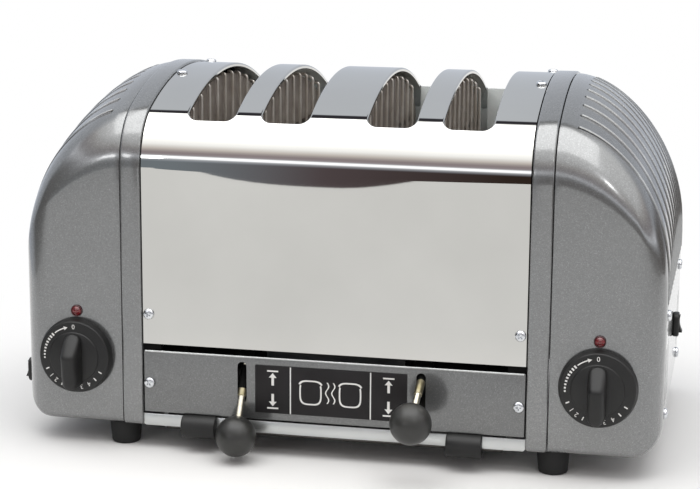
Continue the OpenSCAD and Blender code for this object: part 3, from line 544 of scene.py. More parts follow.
# at the share q of a cover's length: the length that is left, and the scale of its width and height
def coverScale(q, inset=0):
    spec = coverSpec
    left = (1 - q) * coverLong
    fall = spec["drop"] * (1 - (1 - q ** spec["power"]) ** (1 / spec["power"]))
    ky = (halfD - inset - roundIn(spec["edge"], left)) / halfD
    kz = (wrapTop - inset - fall - footH) / (wrapTop - footH)
    return left, ky, kz


# closed outline of a cover at that share, drawn in by inset
def coverLoop(q, inset=0):
    left, ky, kz = coverScale(q, inset)
    low = footH + roundIn(coverSpec["sill"], left)
    wide, corner = halfD * ky, coverSpec["foot"]
    line = [(-(wide - corner) * k / coverSteps["floor"], low) for k in range(coverSteps["floor"])]
    for k in range(coverSteps["corner"] + 1):
        turn = math.pi * (1.5 - 0.5 * k / coverSteps["corner"])
        line.append((-(wide - corner) + corner * math.cos(turn), low + corner + corner * math.sin(turn)))
    wallLow, wallTop = low + corner, footH + (shoulderZ - footH) * kz
    line += [(-wide, wallLow + (wallTop - wallLow) * k / coverSteps["wall"])
             for k in range(1, coverSteps["wall"])]
    rear = [(-y, z) for y, z in reversed(line[1:])]
    upper = archLine(0, shoulderZ, *coverSteps["arch"])[1:-1]
    return line + [(y * ky, footH + (z - footH) * kz) for y, z in upper] + rear


coverRows = []
for share in (0, 0.25):  # a small round where the cover meets the band
    inset = coverSpec["lead"] * (1 - 3 * share) * (1 - share)
    coverRows.append((coverX + coverSpec["gap"] + coverSpec["lead"] * share, coverLoop(0, inset)))
for k in range(1, coverSteps["length"] + 1):
    q = math.sin(math.pi / 2 * k / coverSteps["length"])
    coverRows.append((coverX + coverLong * q, coverLoop(q)))
capLine = coverRows[-1][1]
capZ = sum(z for y, z in capLine) / len(capLine)
for k in range(1, coverSteps["cap"] + 1):
    size = 1 - k / coverSteps["cap"]
    coverRows.append((halfW, [(y * size, capZ + (z - capZ) * size) for y, z in capLine]))
loopCount = len(capLine)
blank = gridPiece("endCoverRight", loopCount, len(coverRows) - 1,
                  lambda i, j: at(coverRows[j][0], *coverRows[j][1][i % loopCount]))
# the flat underside is left open
selectOnly(blank)
bpy.ops.object.mode_set(mode="EDIT")
bpy.ops.mesh.select_all(action="DESELECT")
bpy.ops.object.mode_set(mode="OBJECT")
for face in blank.data.polygons:
    middle = face.center / mm
    under = middle.z < footH + 0.3 and face.normal.z < -0.9
    face.select = under and middle.x < halfW - coverSpec["sill"]
bpy.ops.object.mode_set(mode="EDIT")
bpy.ops.mesh.delete(type="FACE")
bpy.ops.object.mode_set(mode="OBJECT")
thicken(blank, coverSpec["wall"], True)

indicatorSpec = {"flange": 0.8, "holeGap": 0.1, "deep": 16, "stem": 4, "seat": 3.05, "steps": 40}
timerX, _, timerZ = jointAt("timer_right_turn")
lampLow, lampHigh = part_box("lamp_right")
lampZ = (lampLow.z + lampHigh.z) / 2 / mm
lampR = (lampHigh.x - lampLow.x) / 2 / mm - indicatorSpec["flange"]


def coverCutters(side, name):
    spec = coverSpec
    out = halfW + spec["cutOver"]
    cutters = []
    for y in ventRows:
        middle = coverX + spec["ventStart"] + spec["ventReach"] / 2
        shape = [(middle + b, y + a) for a, b in longHole(spec["ventWidth"], spec["ventReach"])]
        cutters.append(platePiece("ventCut", shape, "Z", spec["ventLow"], wrapTop + wrapSpec["cutOver"]))
    low, high = spec["lowVentZ"]
    for k in spec["lowVents"][side]:
        y = k * spec["ventPitch"]
        shape = [(y + a, (low + high) / 2 + b) for a, b in longHole(spec["ventWidth"], high - low)]
        cutters.append(platePiece("lowVentCut", shape, "X", halfW - spec["ventDeep"], out))
    deep = spec["frontDeep"]
    for z, radius in ((lampZ, lampR + indicatorSpec["holeGap"]), (timerZ, spec["spindleHole"])):
        hole = turnedPiece("frontCut", [(0, 0), (radius, 0), (radius, deep), (0, deep)], 32)
        cutters.append(stand(hole, (timerX, -halfD - spec["frontOver"], z), (0, 1, 0)))
    _, y, z = jointAt("rocker_%s_tilt" % name)
    wide, tall = spec["switchHole"]
    cutters.append(boxPiece("switchCut", (halfW - spec["switchDeep"], y - wide, z - tall),
                            (out, y + wide, z + tall), 0))
    return cutters


# rolled edge along one side of a vent, from the roof down over the side
def ventBead(y):
    spec = coverSpec
    first = (spec["ventStart"] + 1) / coverLong
    rows = []
    for k in range(coverSteps["bead"] + 1):
        q = min(first + (1 - first) * math.sin(math.pi / 2 * k / coverSteps["bead"]), 1)
        _, ky, kz = coverScale(q)
        if abs(y) >= halfD * ky - 1:
            break
        rows.append((coverX + coverLong * q, y, footH + (roofAt(y / ky) - footH) * kz))
    rows = [row for row in rows if row[2] > spec["ventLow"] + 1]
    if not rows:
        return None
    x, _, z = rows[-1]
    if x > halfW - 0.5:  # on down the flat end to the foot of the vent
        rows += [(halfW, y, z + (spec["ventLow"] + 1.5 - z) * k / 6) for k in range(1, 7)]
    sunk = []
    for k, (x, y, z) in enumerate(rows):
        before, after = rows[max(k - 1, 0)], rows[min(k + 1, len(rows) - 1)]
        dx, dz = after[0] - before[0], after[2] - before[2]
        sink = spec["beadSink"] / math.hypot(dx, dz)
        sunk.append((x + sink * dz, y, z - sink * dx))
    return tubePiece("ventBead", sunk, spec["bead"], 8)


beads = {-1: [], 1: []}
for y in ventRows:
    for way, made in beads.items():
        bead = ventBead(y + way * coverSpec["ventWidth"] / 2)
        if bead:
            made.append(bead)
lowEdges, highEdges = joinPieces("lowEdges", beads[-1]), joinPieces("highEdges", beads[1])
for side, name in ends:
    cover = cutAway(copyPiece(blank, "endCover" + name.capitalize()), coverCutters(side, name))
    cover = joinPieces("endCover" + name.capitalize(), [cover, copyPiece(lowEdges, "edges")])
    # the beads on one side of each vent are painted pale: a painted highlight where they catch the light
    highlit = copyPiece(highEdges, "ventEdgeHighlights" + name.capitalize())
    if side < 0:
        flipSide(highlit)
        flipSide(cover)
    finishPiece(highlit, highlightEnamel, "body")
    finishPiece(cover, enamel, "body", ["end_cover_" + name])
for spare in (blank, lowEdges, highEdges):
    bpy.data.objects.remove(spare)
print("end covers done")


bandSpec = {"proud": 1.2, "rim": 4, "web": 2, "round": 1.2, "corner": 3, "ledge": 11, "ledgeThick": 2,
            "ledgeGap": 0.02, "ledgeLap": 1, "sheet": 1.2, "footX": 127.3, "footInset": 12, "tab": 10,
            "tabInset": 3.3, "lineSteps": (8, 40, 80), "baseSteps": 8, "roundSteps": 4, "cornerSteps": 5}


# closed outline of the band, grown outwards from the wrap, with its lower edge at low
def bandLoop(grow, low):
    wide, corner = halfD + grow, bandSpec["corner"]
    half = [(-wide * k / bandSpec["baseSteps"], low) for k in range(1, bandSpec["baseSteps"] - 1)]
    for k in range(bandSpec["cornerSteps"]):
        turn = math.pi / 2 * (1 - k / bandSpec["cornerSteps"])
        half.append((-wide + corner * (1 - math.cos(turn)), low + corner * (1 - math.sin(turn))))
    top = archLine(grow, low, *bandSpec["lineSteps"])
    top[0], top[-1] = (-wide, low + corner), (wide, low + corner)
    return [(0, low)] + half + top + [(-y, z) for y, z in reversed(half)]


# the rim of an end plate, which shows as a painted band with rounded edges
def bandRing(name):
    outer, inner, soft = bandSpec["proud"], -bandSpec["rim"], bandSpec["round"]
    turns = [math.pi / 2 * k / bandSpec["roundSteps"] for k in range(bandSpec["roundSteps"] + 1)]
    bend = [(soft * (1 - math.cos(turn)), outer - soft * (1 - math.sin(turn))) for turn in turns]
    section = [(wrapX, inner)] + [(wrapX + a, b) for a, b in bend]
    section += [(coverX - a, b) for a, b in reversed(bend)] + [(coverX, inner), (wrapX, inner)]
    rise = bandSpec["rim"] / (outer - inner)
    loops = [bandLoop(grow, footH + rise * (outer - grow)) for _, grow in section]
    count = len(loops[0])
    return gridPiece(name, count, len(loops) - 1, lambda i, j: at(section[j][0], *loops[j][i % count]))


def makeEndPlate(name):
    spec = bandSpec
    webX = wrapX + spec["rim"]
    web = bandLoop(-spec["rim"] / 2, footH + spec["rim"] / 2)
    parts = [bandRing(name), platePiece("web", web, "X", webX, webX + spec["web"])]
    tabX, insets = spec["footX"] + spec["tab"], (spec["tabInset"], spec["footInset"] + spec["tab"])
    for end in (-1, 1):
        y0, y1 = sorted(end * (halfD - inset) for inset in insets)
        parts.append(boxPiece("tab", (webX, y0, footH), (tabX, y1, footH + spec["rim"])))
    return joinPieces(name, parts)


# inner flange that the wrap and the panels are screwed to, painted black as painted shade where it shows in
# the gap
def makeLedge(name):
    spec = bandSpec
    over, under = [archLine(-spec["sheet"] - depth, panelBottom, *spec["lineSteps"])
                   for depth in (spec["ledgeGap"], spec["ledgeThick"])]
    return platePiece(name, over + under[::-1], "X", wrapX - spec["ledge"], wrapX + spec["ledgeLap"])


plateRight = makeEndPlate("endPlateRight")
plateLeft = flipSide(copyPiece(plateRight, "endPlateLeft"))
finishPiece(plateRight, enamel, "body", ["end_plate_right"])
finishPiece(plateLeft, enamel, "body", ["end_plate_left"])
ledgeRight = makeLedge("ledgeRight")
# the ledges are painted black, as painted shade
for ledge in (ledgeRight, flipSide(copyPiece(ledgeRight, "ledgeLeft"))):
    finishPiece(ledge, shadeBlack, "body")
print("end plates done")


panelSpec = {"sheet": 1.2, "fold": 3.8, "foldX": 101.2, "foldStart": 0.7, "foldSoft": 0.25, "bend": 0.9,
             "bead": 0.6, "beadSink": 0.45, "beadInset": 1, "slotWidth": 5.4, "endGap": 1.5, "sleeve": 4.8,
             "glandHole": 6.1, "cutOver": 2, "cutDeep": 3}
panelX = panelHigh.x / mm - wrapSpec["edgeGap"] / 2
leverX, pivotY, pivotZ = jointAt("lever_right_hinge")
glandLow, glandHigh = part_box("cord_gland")
glandX, glandZ = (glandLow.x + glandHigh.x) / 2 / mm, (glandLow.z + glandHigh.z) / 2 / mm


# folded sheet on the front (face -1) or the rear (face 1)
def makePanel(name, face):
    spec = panelSpec
    y0, y1 = sorted((face * halfD, face * (halfD - spec["sheet"])))
    parts = [boxPiece(name, (-panelX, y0, panelBottom), (panelX, y1, panelTop), spec["bend"], 4)]
    y0, y1 = sorted(face * (halfD - depth) for depth in (spec["foldStart"], spec["sheet"] + spec["fold"]))
    for z in (panelBottom, panelTop - spec["sheet"]):
        parts.append(boxPiece("fold", (-spec["foldX"], y0, z), (spec["foldX"], y1, z + spec["sheet"]),
                              spec["foldSoft"]))
    return joinPieces(name, parts)


frontPanel, rearPanel = makePanel("leverPanel", -1), makePanel("rearPanel", 1)
cutOver, cutDeep = panelSpec["cutOver"], panelSpec["cutDeep"]
# each lever's slot is long enough for its sleeve at both ends of its swing
pivotBack = pivotY + halfD
steep, flat = math.radians(leverSlope["left"]), math.radians(leverSlope["right"])
sleeveHalf = panelSpec["sleeve"] / 2
slotLow = pivotZ - pivotBack * math.tan(steep) - sleeveHalf / math.cos(steep) - panelSpec["endGap"]
slotHigh = (pivotZ - (pivotBack - panelSpec["sheet"]) * math.tan(flat) + sleeveHalf / math.cos(flat)
            + panelSpec["endGap"])
slotShape = longHole(panelSpec["slotWidth"], slotHigh - slotLow, 10)
leverCuts = [[(x + a, (slotLow + slotHigh) / 2 + b) for a, b in slotShape] for x in (-leverX, leverX)]
cutAway(frontPanel, [platePiece("leverCut", shape, "Y", -halfD - cutOver, -halfD + cutDeep)
                     for shape in leverCuts])
glandCut = [(glandX + panelSpec["glandHole"] * math.cos(math.pi * k / 24),
             glandZ + panelSpec["glandHole"] * math.sin(math.pi * k / 24)) for k in range(48)]
cutAway(rearPanel, [platePiece("glandCut", glandCut, "Y", halfD - cutDeep, halfD + cutOver)])
# the panels get the coat painted darker, as painted shade
finishPiece(frontPanel, shadedPanelEnamel, "body", ["front_panel"])
finishPiece(rearPanel, shadedPanelEnamel, "body", ["rear_panel"])
# a pale bead along each panel's top edge: a painted highlight where the rolled edge catches the light
for name, face in (("leverPanelEdge", -1), ("rearPanelEdge", 1)):
    beadX = panelX - panelSpec["beadInset"]
    beadY, beadZ = face * (halfD - panelSpec["beadSink"]), panelTop - panelSpec["beadSink"]
    line = [(beadX * (k / 6 - 1), beadY, beadZ) for k in range(13)]
    finishPiece(tubePiece(name, line, panelSpec["bead"], 16), highlightEnamel, "body")
print("panels done")

labelSpec = {"soft": 0.2, "ink": 0.06, "inkSink": 0.02,
             "dividerX": 23.5, "dividerWidth": 0.7, "dividerGap": 0.2,
             "arrowX": 34, "arrowOff": 6.2, "arrowHeight": 7.4, "arrowHead": 4.6, "arrowShaft": 1.5,
             "barWidth": 6.6, "barGap": 0.7, "barThick": 0.9,
             "signX": 11.6, "signDrop": 0.4, "signWide": 6.6, "signHigh": 7.4, "signHead": 1.16,
             "signLine": 0.9, "signPower": 0.55, "signSteps": 72,
             "waveX": 1.8, "waveHigh": 12.5, "waveSwing": 0.9, "waveTurns": 1.5, "waveLine": 0.75,
             "waveSteps": 24}
labelLow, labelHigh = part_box("label_plate")
labelX, labelBase, labelTop = labelHigh.x / mm, labelLow.z / mm, labelHigh.z / mm
labelFace = labelLow.y / mm - bodyY
plate = boxPiece("labelPlate", (-labelX, labelFace, labelBase), (labelX, -halfD, labelTop), labelSpec["soft"])
finishPiece(plate, labelBlack, "body", ["label_plate"])
inkFront, inkBack = labelFace - labelSpec["ink"], labelFace + labelSpec["inkSink"]


# an arrow with a bar at its tip, pointing up (way 1) or down (way -1)
def arrowMarks(x, z, way):
    spec = labelSpec
    tall, head, shaft = spec["arrowHeight"] / 2, spec["arrowHead"] / 2, spec["arrowShaft"] / 2
    neck = tall - head * 1.2
    shape = [(0, tall), (-head, neck), (-shaft, neck), (-shaft, -tall),
             (shaft, -tall), (shaft, neck), (head, neck)]
    arrow = platePiece("arrow", [(x + a, z + way * b) for a, b in shape], "Y", inkFront, inkBack)
    low = tall + spec["barGap"]
    z0, z1 = sorted((z + way * low, z + way * (low + spec["barThick"])))
    half = spec["barWidth"] / 2
    return [arrow, boxPiece("arrowBar", (x - half, inkFront, z0), (x + half, inkBack, z1), 0)]


# a square sign with soft corners and a wider head, drawn as a closed line of ink
def signMark(x, z):
    spec = labelSpec

    def place(i, j):
        turn = 2 * math.pi * i / spec["signSteps"]
        c, s = math.cos(turn), math.sin(turn)
        wide, high = [spec[key] - spec["signLine"] * j for key in ("signWide", "signHigh")]
        wider = spec["signHead"] if s > 0.45 else 1.0
        return at(x + wide * wider * signedPower(c, spec["signPower"]), inkFront,
                  z + high * signedPower(s, spec["signPower"]))
    return gridPiece("sign", spec["signSteps"], 1, place)


# a rising wave of warm air
def waveMark(x, z):
    spec = labelSpec

    def place(i, j):
        share = j / spec["waveSteps"]
        middle = x + spec["waveSwing"] * math.sin(share * 2 * math.pi * spec["waveTurns"])
        return at(middle + (i - 0.5) * spec["waveLine"], inkFront, z + (share - 0.5) * spec["waveHigh"])
    return gridPiece("wave", 1, spec["waveSteps"], place)


labelMid = (labelBase + labelTop) / 2
marks = []
for x in (-labelSpec["dividerX"], labelSpec["dividerX"]):
    half, gap = labelSpec["dividerWidth"] / 2, labelSpec["dividerGap"]
    marks.append(boxPiece("divider", (x - half, inkFront, labelBase + gap),
                          (x + half, inkBack, labelTop - gap), 0))
for x in (-labelSpec["arrowX"], labelSpec["arrowX"]):
    for way in (1, -1):
        marks += arrowMarks(x, labelMid + way * labelSpec["arrowOff"], way)
marks += [signMark(x, labelMid - labelSpec["signDrop"]) for x in (-labelSpec["signX"], labelSpec["signX"])]
marks += [waveMark(x, labelMid) for x in (-labelSpec["waveX"], labelSpec["waveX"])]
finishPiece(joinPieces("labelMarks", marks), whiteInk, "body")
print("label done")

railSpec = {"thick": 1.5, "back": 0.3, "top": 21.2, "corner": 1.8, "soft": 0.4, "bar": 9, "barLap": 0.6,
            "sideX": 101.5, "sideStart": 0.5, "sideEnd": 4, "sheet": 1.2}
railFront, railTop = -halfD + railSpec["back"], railSpec["top"]
railShape = roundRect(2 * wrapX, railTop - footH, railSpec["corner"], 5)
rail = platePiece("baseFrame", [(a, (footH + railTop) / 2 + b) for a, b in railShape],
                  "Y", railFront, railFront + railSpec["thick"])
softenEdges(rail, railSpec["soft"])
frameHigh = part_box("base_frame")[1]
barBack, barTop = frameHigh.y / mm - bodyY, frameHigh.z / mm
parts = [rail, boxPiece("crossBar", (-wrapX, barBack - railSpec["bar"], railTop - railSpec["barLap"]),
                        (wrapX, barBack, barTop))]
for side in (-1, 1):
    x0, x1 = sorted((side * railSpec["sideX"], side * wrapX))
    parts.append(boxPiece("sideRail", (x0, -halfD + railSpec["sideStart"], railTop - railSpec["sheet"]),
                          (x1, barBack - railSpec["sideEnd"], railTop), 0.3))
finishPiece(joinPieces("baseFrame", parts), bareSteel, "body", ["base_frame"])

clipSpec = {"x": leverX + 25.5, "width": 20.5, "high": 14, "back": 0.3, "bulge": 0.98, "soft": 3.2,
            "hook": 9.5, "hookThick": 3.2, "hookInset": 1, "hookLap": 0.4}
clips = []
clipLow, clipR = panelBottom - clipSpec["high"], clipSpec["high"] / 2
clipShape = halfRound(-halfD + clipSpec["back"], clipLow + clipR, clipR, 20, -clipSpec["bulge"])
hookFront, inset = -halfD - clipSpec["hookLap"], clipSpec["hookInset"]
for side in (-1, 1):
    x0, x1 = [side * clipSpec["x"] + end * clipSpec["width"] / 2 for end in (-1, 1)]
    clips.append(softenEdges(platePiece("clipFace", clipShape, "X", x0, x1), clipSpec["soft"], 6, 60))
    clips.append(boxPiece("clipHook", (x0 + inset, hookFront, clipLow),
                          (x1 - inset, hookFront + clipSpec["hook"], clipLow + clipSpec["hookThick"]), 0.5))
finishPiece(joinPieces("trayClips", clips), blackAbs, "body", ["tray_clips"])

traySpec = {"sheet": 0.8, "soft": 0.3, "backGap": 1, "drop": 2, "gripX": clipSpec["x"], "gripR": 4,
            "gripLap": 0.4, "gripUp": 2, "gripSoft": 0.6}
trayLow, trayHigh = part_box("crumb_tray")
trayX, trayTop, sheet = trayHigh.x / mm, trayHigh.z / mm, traySpec["sheet"]
trayFront, trayBack = trayLow.y / mm - bodyY, halfD - traySpec["backGap"]
trayFloor = footH - traySpec["drop"]
trayWalls = [("crumbTray", (-trayX, trayFront, trayFloor), (trayX, trayBack, trayFloor + sheet)),
             ("trayFront", (-trayX, trayFront, trayFloor), (trayX, trayFront + sheet, trayTop)),
             ("trayBack", (-trayX, trayBack - sheet, trayFloor), (trayX, trayBack, trayTop)),
             ("trayLeft", (-trayX, trayFront, trayFloor), (sheet - trayX, trayBack, trayTop)),
             ("trayRight", (trayX - sheet, trayFront, trayFloor), (trayX, trayBack, trayTop))]
trayParts = [boxPiece(name, low, high, traySpec["soft"]) for name, low, high in trayWalls]
gripShape = halfRound(trayBack - traySpec["gripLap"], trayFloor + traySpec["gripUp"], traySpec["gripR"], 16)
grip = platePiece("trayGrip", gripShape, "X", -traySpec["gripX"], traySpec["gripX"])
trayParts.append(softenEdges(grip, traySpec["gripSoft"], 3, 60))
finishPiece(joinPieces("crumbTray", trayParts), traySteel, "tray", ["crumb_tray"])

footSpec = {"radius": 9.5, "recess": 2.4, "seatGap": 0.05, "steps": 48}
footR, footTop = footSpec["radius"], footH - footSpec["seatGap"]
footShape = [(0, footSpec["recess"]), (3.2, footSpec["recess"]), (3.5, 0.4), (4.1, 0), (footR - 2.1, 0),
             (footR - 1.4, 0.4), (footR - 1, 1.3), (footR - 0.15, footH - 1.2), (footR - 0.5, footTop),
             (0, footTop)]
feet = []
for x in (-bandSpec["footX"], bandSpec["footX"]):
    for y in (bandSpec["footInset"] - halfD, halfD - bandSpec["footInset"]):
        feet.append(stand(turnedPiece("foot", footShape, footSpec["steps"]), (x, y, 0)))
finishPiece(joinPieces("rubberFeet", feet), rubber, "body", ["feet"])
print("base done")

screwSpec = {"radius": 3.2, "high": 2.0, "thread": 1.7, "length": 6, "postLength": 12,
             "slot": 0.85, "slotLong": 3.7, "slotDeep": 1.15, "slotTaper": (0.6, 0.55),
             "inset": 4.2, "wrapZ": 81.3, "topY": 31, "panelZ": panelBottom + (panelTop - panelBottom) * 0.48,
             "posts": {-1: (-60, 60), 1: (-78, 60)}, "postZ": (34.8, 92)}
screws = {"wrapScrews": [], "panelScrews": [], "coverScrews": []}


# a pan-head screw standing on z = 0, with a cross recess in its head
def makeScrew(name, length):
    spec = screwSpec
    r, h, thread = spec["radius"], spec["high"], spec["thread"]
    rows = [(0, -length), (thread * 0.7, -length), (thread, 0.8 - length), (thread, -0.02),
            (r - 0.15, 0), (r, 0.2)]
    dome = ((1, 0.35), (0.96, 0.6), (0.85, 0.8), (0.66, 0.93), (0.4, 0.99), (0, 1))
    screw = turnedPiece(name, rows + [(r * a, h * b) for a, b in dome], 40)
    for turn in (0, 90):
        arm = platePiece("arm", roundRect(spec["slot"], spec["slotLong"], 0.2, 3), "Z", 0, 1)
        arm.data.transform(Matrix.Translation(-at(0, 0, 0)))
        for vertex in arm.data.vertices:
            deep = vertex.co.z < 0.5 * mm
            if deep:
                vertex.co.x *= spec["slotTaper"][0]
                vertex.co.y *= spec["slotTaper"][1]
            vertex.co.z = (h - spec["slotDeep"] if deep else h + 0.4) * mm
        arm.data.transform(Matrix.Rotation(math.radians(turn), 4, "Z"))
        cutAway(screw, [arm])
    return screw


def addScrew(group, model, point, way, roll):
    screws[group].append(stand(copyPiece(model, group), point, way, roll))


sheetScrew = makeScrew("sheetScrew", screwSpec["length"])
postScrew = makeScrew("postScrew", screwSpec["postLength"])
screwX = wrapX - screwSpec["inset"]
screwSeat = arch["crown"] + screwSpec["radius"] ** 2 / arch["crown"]  # clear of the curved roof
# each screw has come to rest at its own angle
for side in (-1, 1):
    for face in (-1, 1):
        x, y, roll = side * screwX, face * halfD, 20 + 37 * side + 11 * face
        addScrew("wrapScrews", sheetScrew, (x, y, screwSpec["wrapZ"]), (0, face, 0), roll)
        addScrew("panelScrews", sheetScrew, (x, y, screwSpec["panelZ"]), (0, face, 0), roll * 2)
        lean = math.asin(face * screwSpec["topY"] / arch["crown"])
        y, z = math.sin(lean), math.cos(lean)
        addScrew("wrapScrews", sheetScrew, (x, screwSeat * y, crownZ + screwSeat * z), (0, y, z), roll)
    for y in screwSpec["posts"][side]:
        for z in screwSpec["postZ"]:
            addScrew("coverScrews", postScrew, (side * halfW, y, z), (side, 0, 0), 15 + y / 3 + z)
for group, node in zip(screws, ("wrap_screws", "panel_screws", "cover_screws")):
    finishPiece(joinPieces(group, screws[group]), zincScrew, "body", [node])
for spare in (sheetScrew, postScrew):
    bpy.data.objects.remove(spare)
print("screws done")

# collar: per lever, where the sleeve's black painted shade ends and its brass begins
leverSpec = {"reach": 49, "ball": 11.79, "ballSteps": 28, "neck": 2.05, "neckDeep": 9,
             "rod": 2, "rodStart": 0.3, "rodLap": 2, "sleeve": 2.4, "bore": 1.95, "sleeveStart": 6.3,
             "sleeveEnd": 25, "collar": {"left": 20.2, "right": 13.6}}
for side, name in ends:
    spec, body, tag = leverSpec, "lever_" + name, name.capitalize()
    lean = math.radians(leverSlope[name])
    way, pivot = (0, -math.cos(lean), -math.sin(lean)), (side * leverX, pivotY, pivotZ)
    reach, start, end = spec["reach"], spec["rodStart"], spec["reach"] + spec["rodLap"]
    rod = turnedPiece("leverRod" + tag, [(0, start), (spec["rod"], start), (spec["rod"], end), (0, end)], 32)
    finishPiece(stand(rod, pivot, way), nickel, body, ["lever_rod_" + name])
    r, bore, split = spec["sleeve"], spec["bore"], spec["collar"][name]
    # each sleeve is black up to the split as painted shade inside the slot, brass beyond; the left lever's
    # split lies further out as more of it sits in shade
    sleeves = (("leverShadedShank", shadeBlack, spec["sleeveStart"], split, 0.2, 0.2),
               ("leverCollar", brassNickel, split, spec["sleeveEnd"], 0.3, 0.4))
    for kind, material, z0, z1, soft, tip in sleeves:
        rows = [(bore, z0), (r - soft, z0), (r, z0 + soft), (r, z1 - tip), (r - soft, z1), (bore, z1)]
        finishPiece(stand(turnedPiece(kind + tag, rows, 32), pivot, way), material, body)
    ballRows = halfRound(0, reach, spec["ball"], spec["ballSteps"])
    neckLow, seat = reach - spec["neckDeep"], ballRows[2][1]
    neck = [(0, neckLow), (spec["neck"], neckLow), (spec["neck"], seat - 0.15), (2.6, seat - 0.12)]
    ball = turnedPiece("ballGrip" + tag, neck + ballRows[3:], 56)
    finishPiece(stand(ball, pivot, way), phenolic, body, ["lever_ball_" + name], 50)
print("levers done")

knobSpec = {"radius": 22.25, "skirt": 5, "edge": 1.1, "edgeIn": 0.9, "disc": 14.8, "discHigh": 0.9,
            "bore": 3.05, "gap": 1.7, "barLow": -18, "barHigh": 14, "barWide": 10.6, "barSink": 0.5,
            "crest": 2.5, "crestHigh": 13.3, "crestSharp": 1.6, "lowHigh": 10.4, "topHigh": 2.6}
knobSteps = {"along": 48, "across": 24, "edge": 5, "round": 96}


# height of the grip above the skirt: a ramp up from its top end, a soft crest, then almost level
def gripHeight(y):
    spec = knobSpec
    high, sharp = spec["crestHigh"], spec["crestSharp"]
    up = high - (high - spec["topHigh"]) * (y - spec["crest"]) / (spec["barHigh"] - spec["crest"])
    down = high - (high - spec["lowHigh"]) * (spec["crest"] - y) / (spec["crest"] - spec["barLow"])
    return -math.log(math.exp(-up * sharp) + math.exp(-down * sharp)) / sharp


def makeKnob(name):
    spec = knobSpec
    r, e, h, disc = spec["radius"], spec["edge"], spec["skirt"], spec["disc"]
    rimR, discTop = r - spec["edgeIn"], h + spec["discHigh"]
    turns = [math.pi / 2 * k / knobSteps["edge"] for k in range(knobSteps["edge"] + 1)]
    profile = [(spec["bore"], 0.4), (6, 0.4), (6.5, 1.2), (r - 2.6, 1.2), (r - 2.2, 0), (r - 0.4, 0),
               (r, 0.3), (r, 1.0)]
    profile += [(rimR - e * (1 - math.cos(turn)), h - e * (1 - math.sin(turn))) for turn in turns]
    profile += [(disc + 0.7, h), (disc + 0.3, h + 0.1), (disc, discTop - 0.2), (disc - 0.4, discTop),
                (0, discTop)]
    skirt = turnedPiece(name, profile, knobSteps["round"])
    middle, half = (spec["barHigh"] + spec["barLow"]) / 2, (spec["barHigh"] - spec["barLow"]) / 2
    sink = spec["barSink"]

    # the rows close up towards the ends, and the powers square off the bar's plan and section
    def place(i, j):
        s = 2 * j / knobSteps["along"] - 1
        s = math.copysign(1 - (1 - abs(s)) ** 1.5, s)
        y = middle + s * half
        turn = math.pi * (i / knobSteps["across"] - 0.5)
        wide = spec["barWide"] / 2 * (1 - abs(s) ** 8) ** (1 / 2.6)
        top = gripHeight(y) * (1 - 0.15 * abs(s) ** 10)
        return Vector((wide * signedPower(math.sin(turn), 0.7), y,
                       h - sink + (top + sink) * abs(math.cos(turn)) ** 0.5)) * mm
    grip = gridPiece("grip", knobSteps["across"], knobSteps["along"], place)
    return joinPieces(name, [skirt, grip])


# angles are in degrees round the knob, from its right
knobInk = {"ring": 18, "rise": 0.08, "arrow": (129, 108), "arrowLine": 0.32, "tip": 1.15,
           "tipTurns": (108.5, 101), "dots": 9, "dotStart": 134, "dotStep": 6.2, "dotTurn": 1.6,
           "dotSize": 0.95, "dotFade": 0.06,
           "ticks": (205, 245, 262, 315, 332), "tickSize": 1.1, "digitSize": 3.875,
           "digits": {"0": 90, "1": 220, "2": 232, "3": 284, "4": 300}}


# flat ink on the knob's face: a nought at the top, an arrow to it, dots beside the arrow and a scale below
def knobMarks(name):
    spec = knobInk
    ring, level = spec["ring"], knobSpec["skirt"] + spec["rise"]

    def spot(radius, turn):
        turn = math.radians(turn)
        return Vector((radius * math.cos(turn), radius * math.sin(turn), level)) * mm

    def arcMark(start, end, half, steps):
        return gridPiece("arcMark", 1, steps,
                         lambda i, j: spot(ring + half * (2 * i - 1), start + (end - start) * j / steps))

    parts = [arcMark(*spec["arrow"], spec["arrowLine"], 10)]
    bpy.ops.object.select_all(action="DESELECT")
    bpy.ops.mesh.primitive_circle_add(vertices=3, fill_type="NGON")
    head = namePiece("arrowHead")
    back, front = spec["tipTurns"]
    corners = ((ring + spec["tip"], back), (ring - spec["tip"], back), (ring, front))
    for vertex, corner in zip(head.data.vertices, corners):
        vertex.co = spot(*corner)
    parts.append(head)
    for k in range(spec["dots"]):
        turn = spec["dotStart"] + spec["dotStep"] * k
        size = spec["dotSize"] - spec["dotFade"] * k
        parts.append(arcMark(turn - spec["dotTurn"], turn + spec["dotTurn"], size, 3))
    for turn in spec["ticks"]:
        parts.append(arcMark(turn - spec["tickSize"], turn + spec["tickSize"], spec["tickSize"], 2))
    for digit, turn in spec["digits"].items():
        bpy.ops.object.text_add()
        text = bpy.context.object.data
        text.body, text.size = digit, spec["digitSize"] * mm
        text.align_x = text.align_y = "CENTER"
        bpy.ops.object.convert(target="MESH")
        sign = namePiece("digit")
        upright = Matrix.Rotation(math.radians(turn - 90), 4, "Z")
        sign.data.transform(Matrix.Translation(spot(ring, turn)) @ upright)
        parts.append(sign)
    return joinPieces(name, parts)


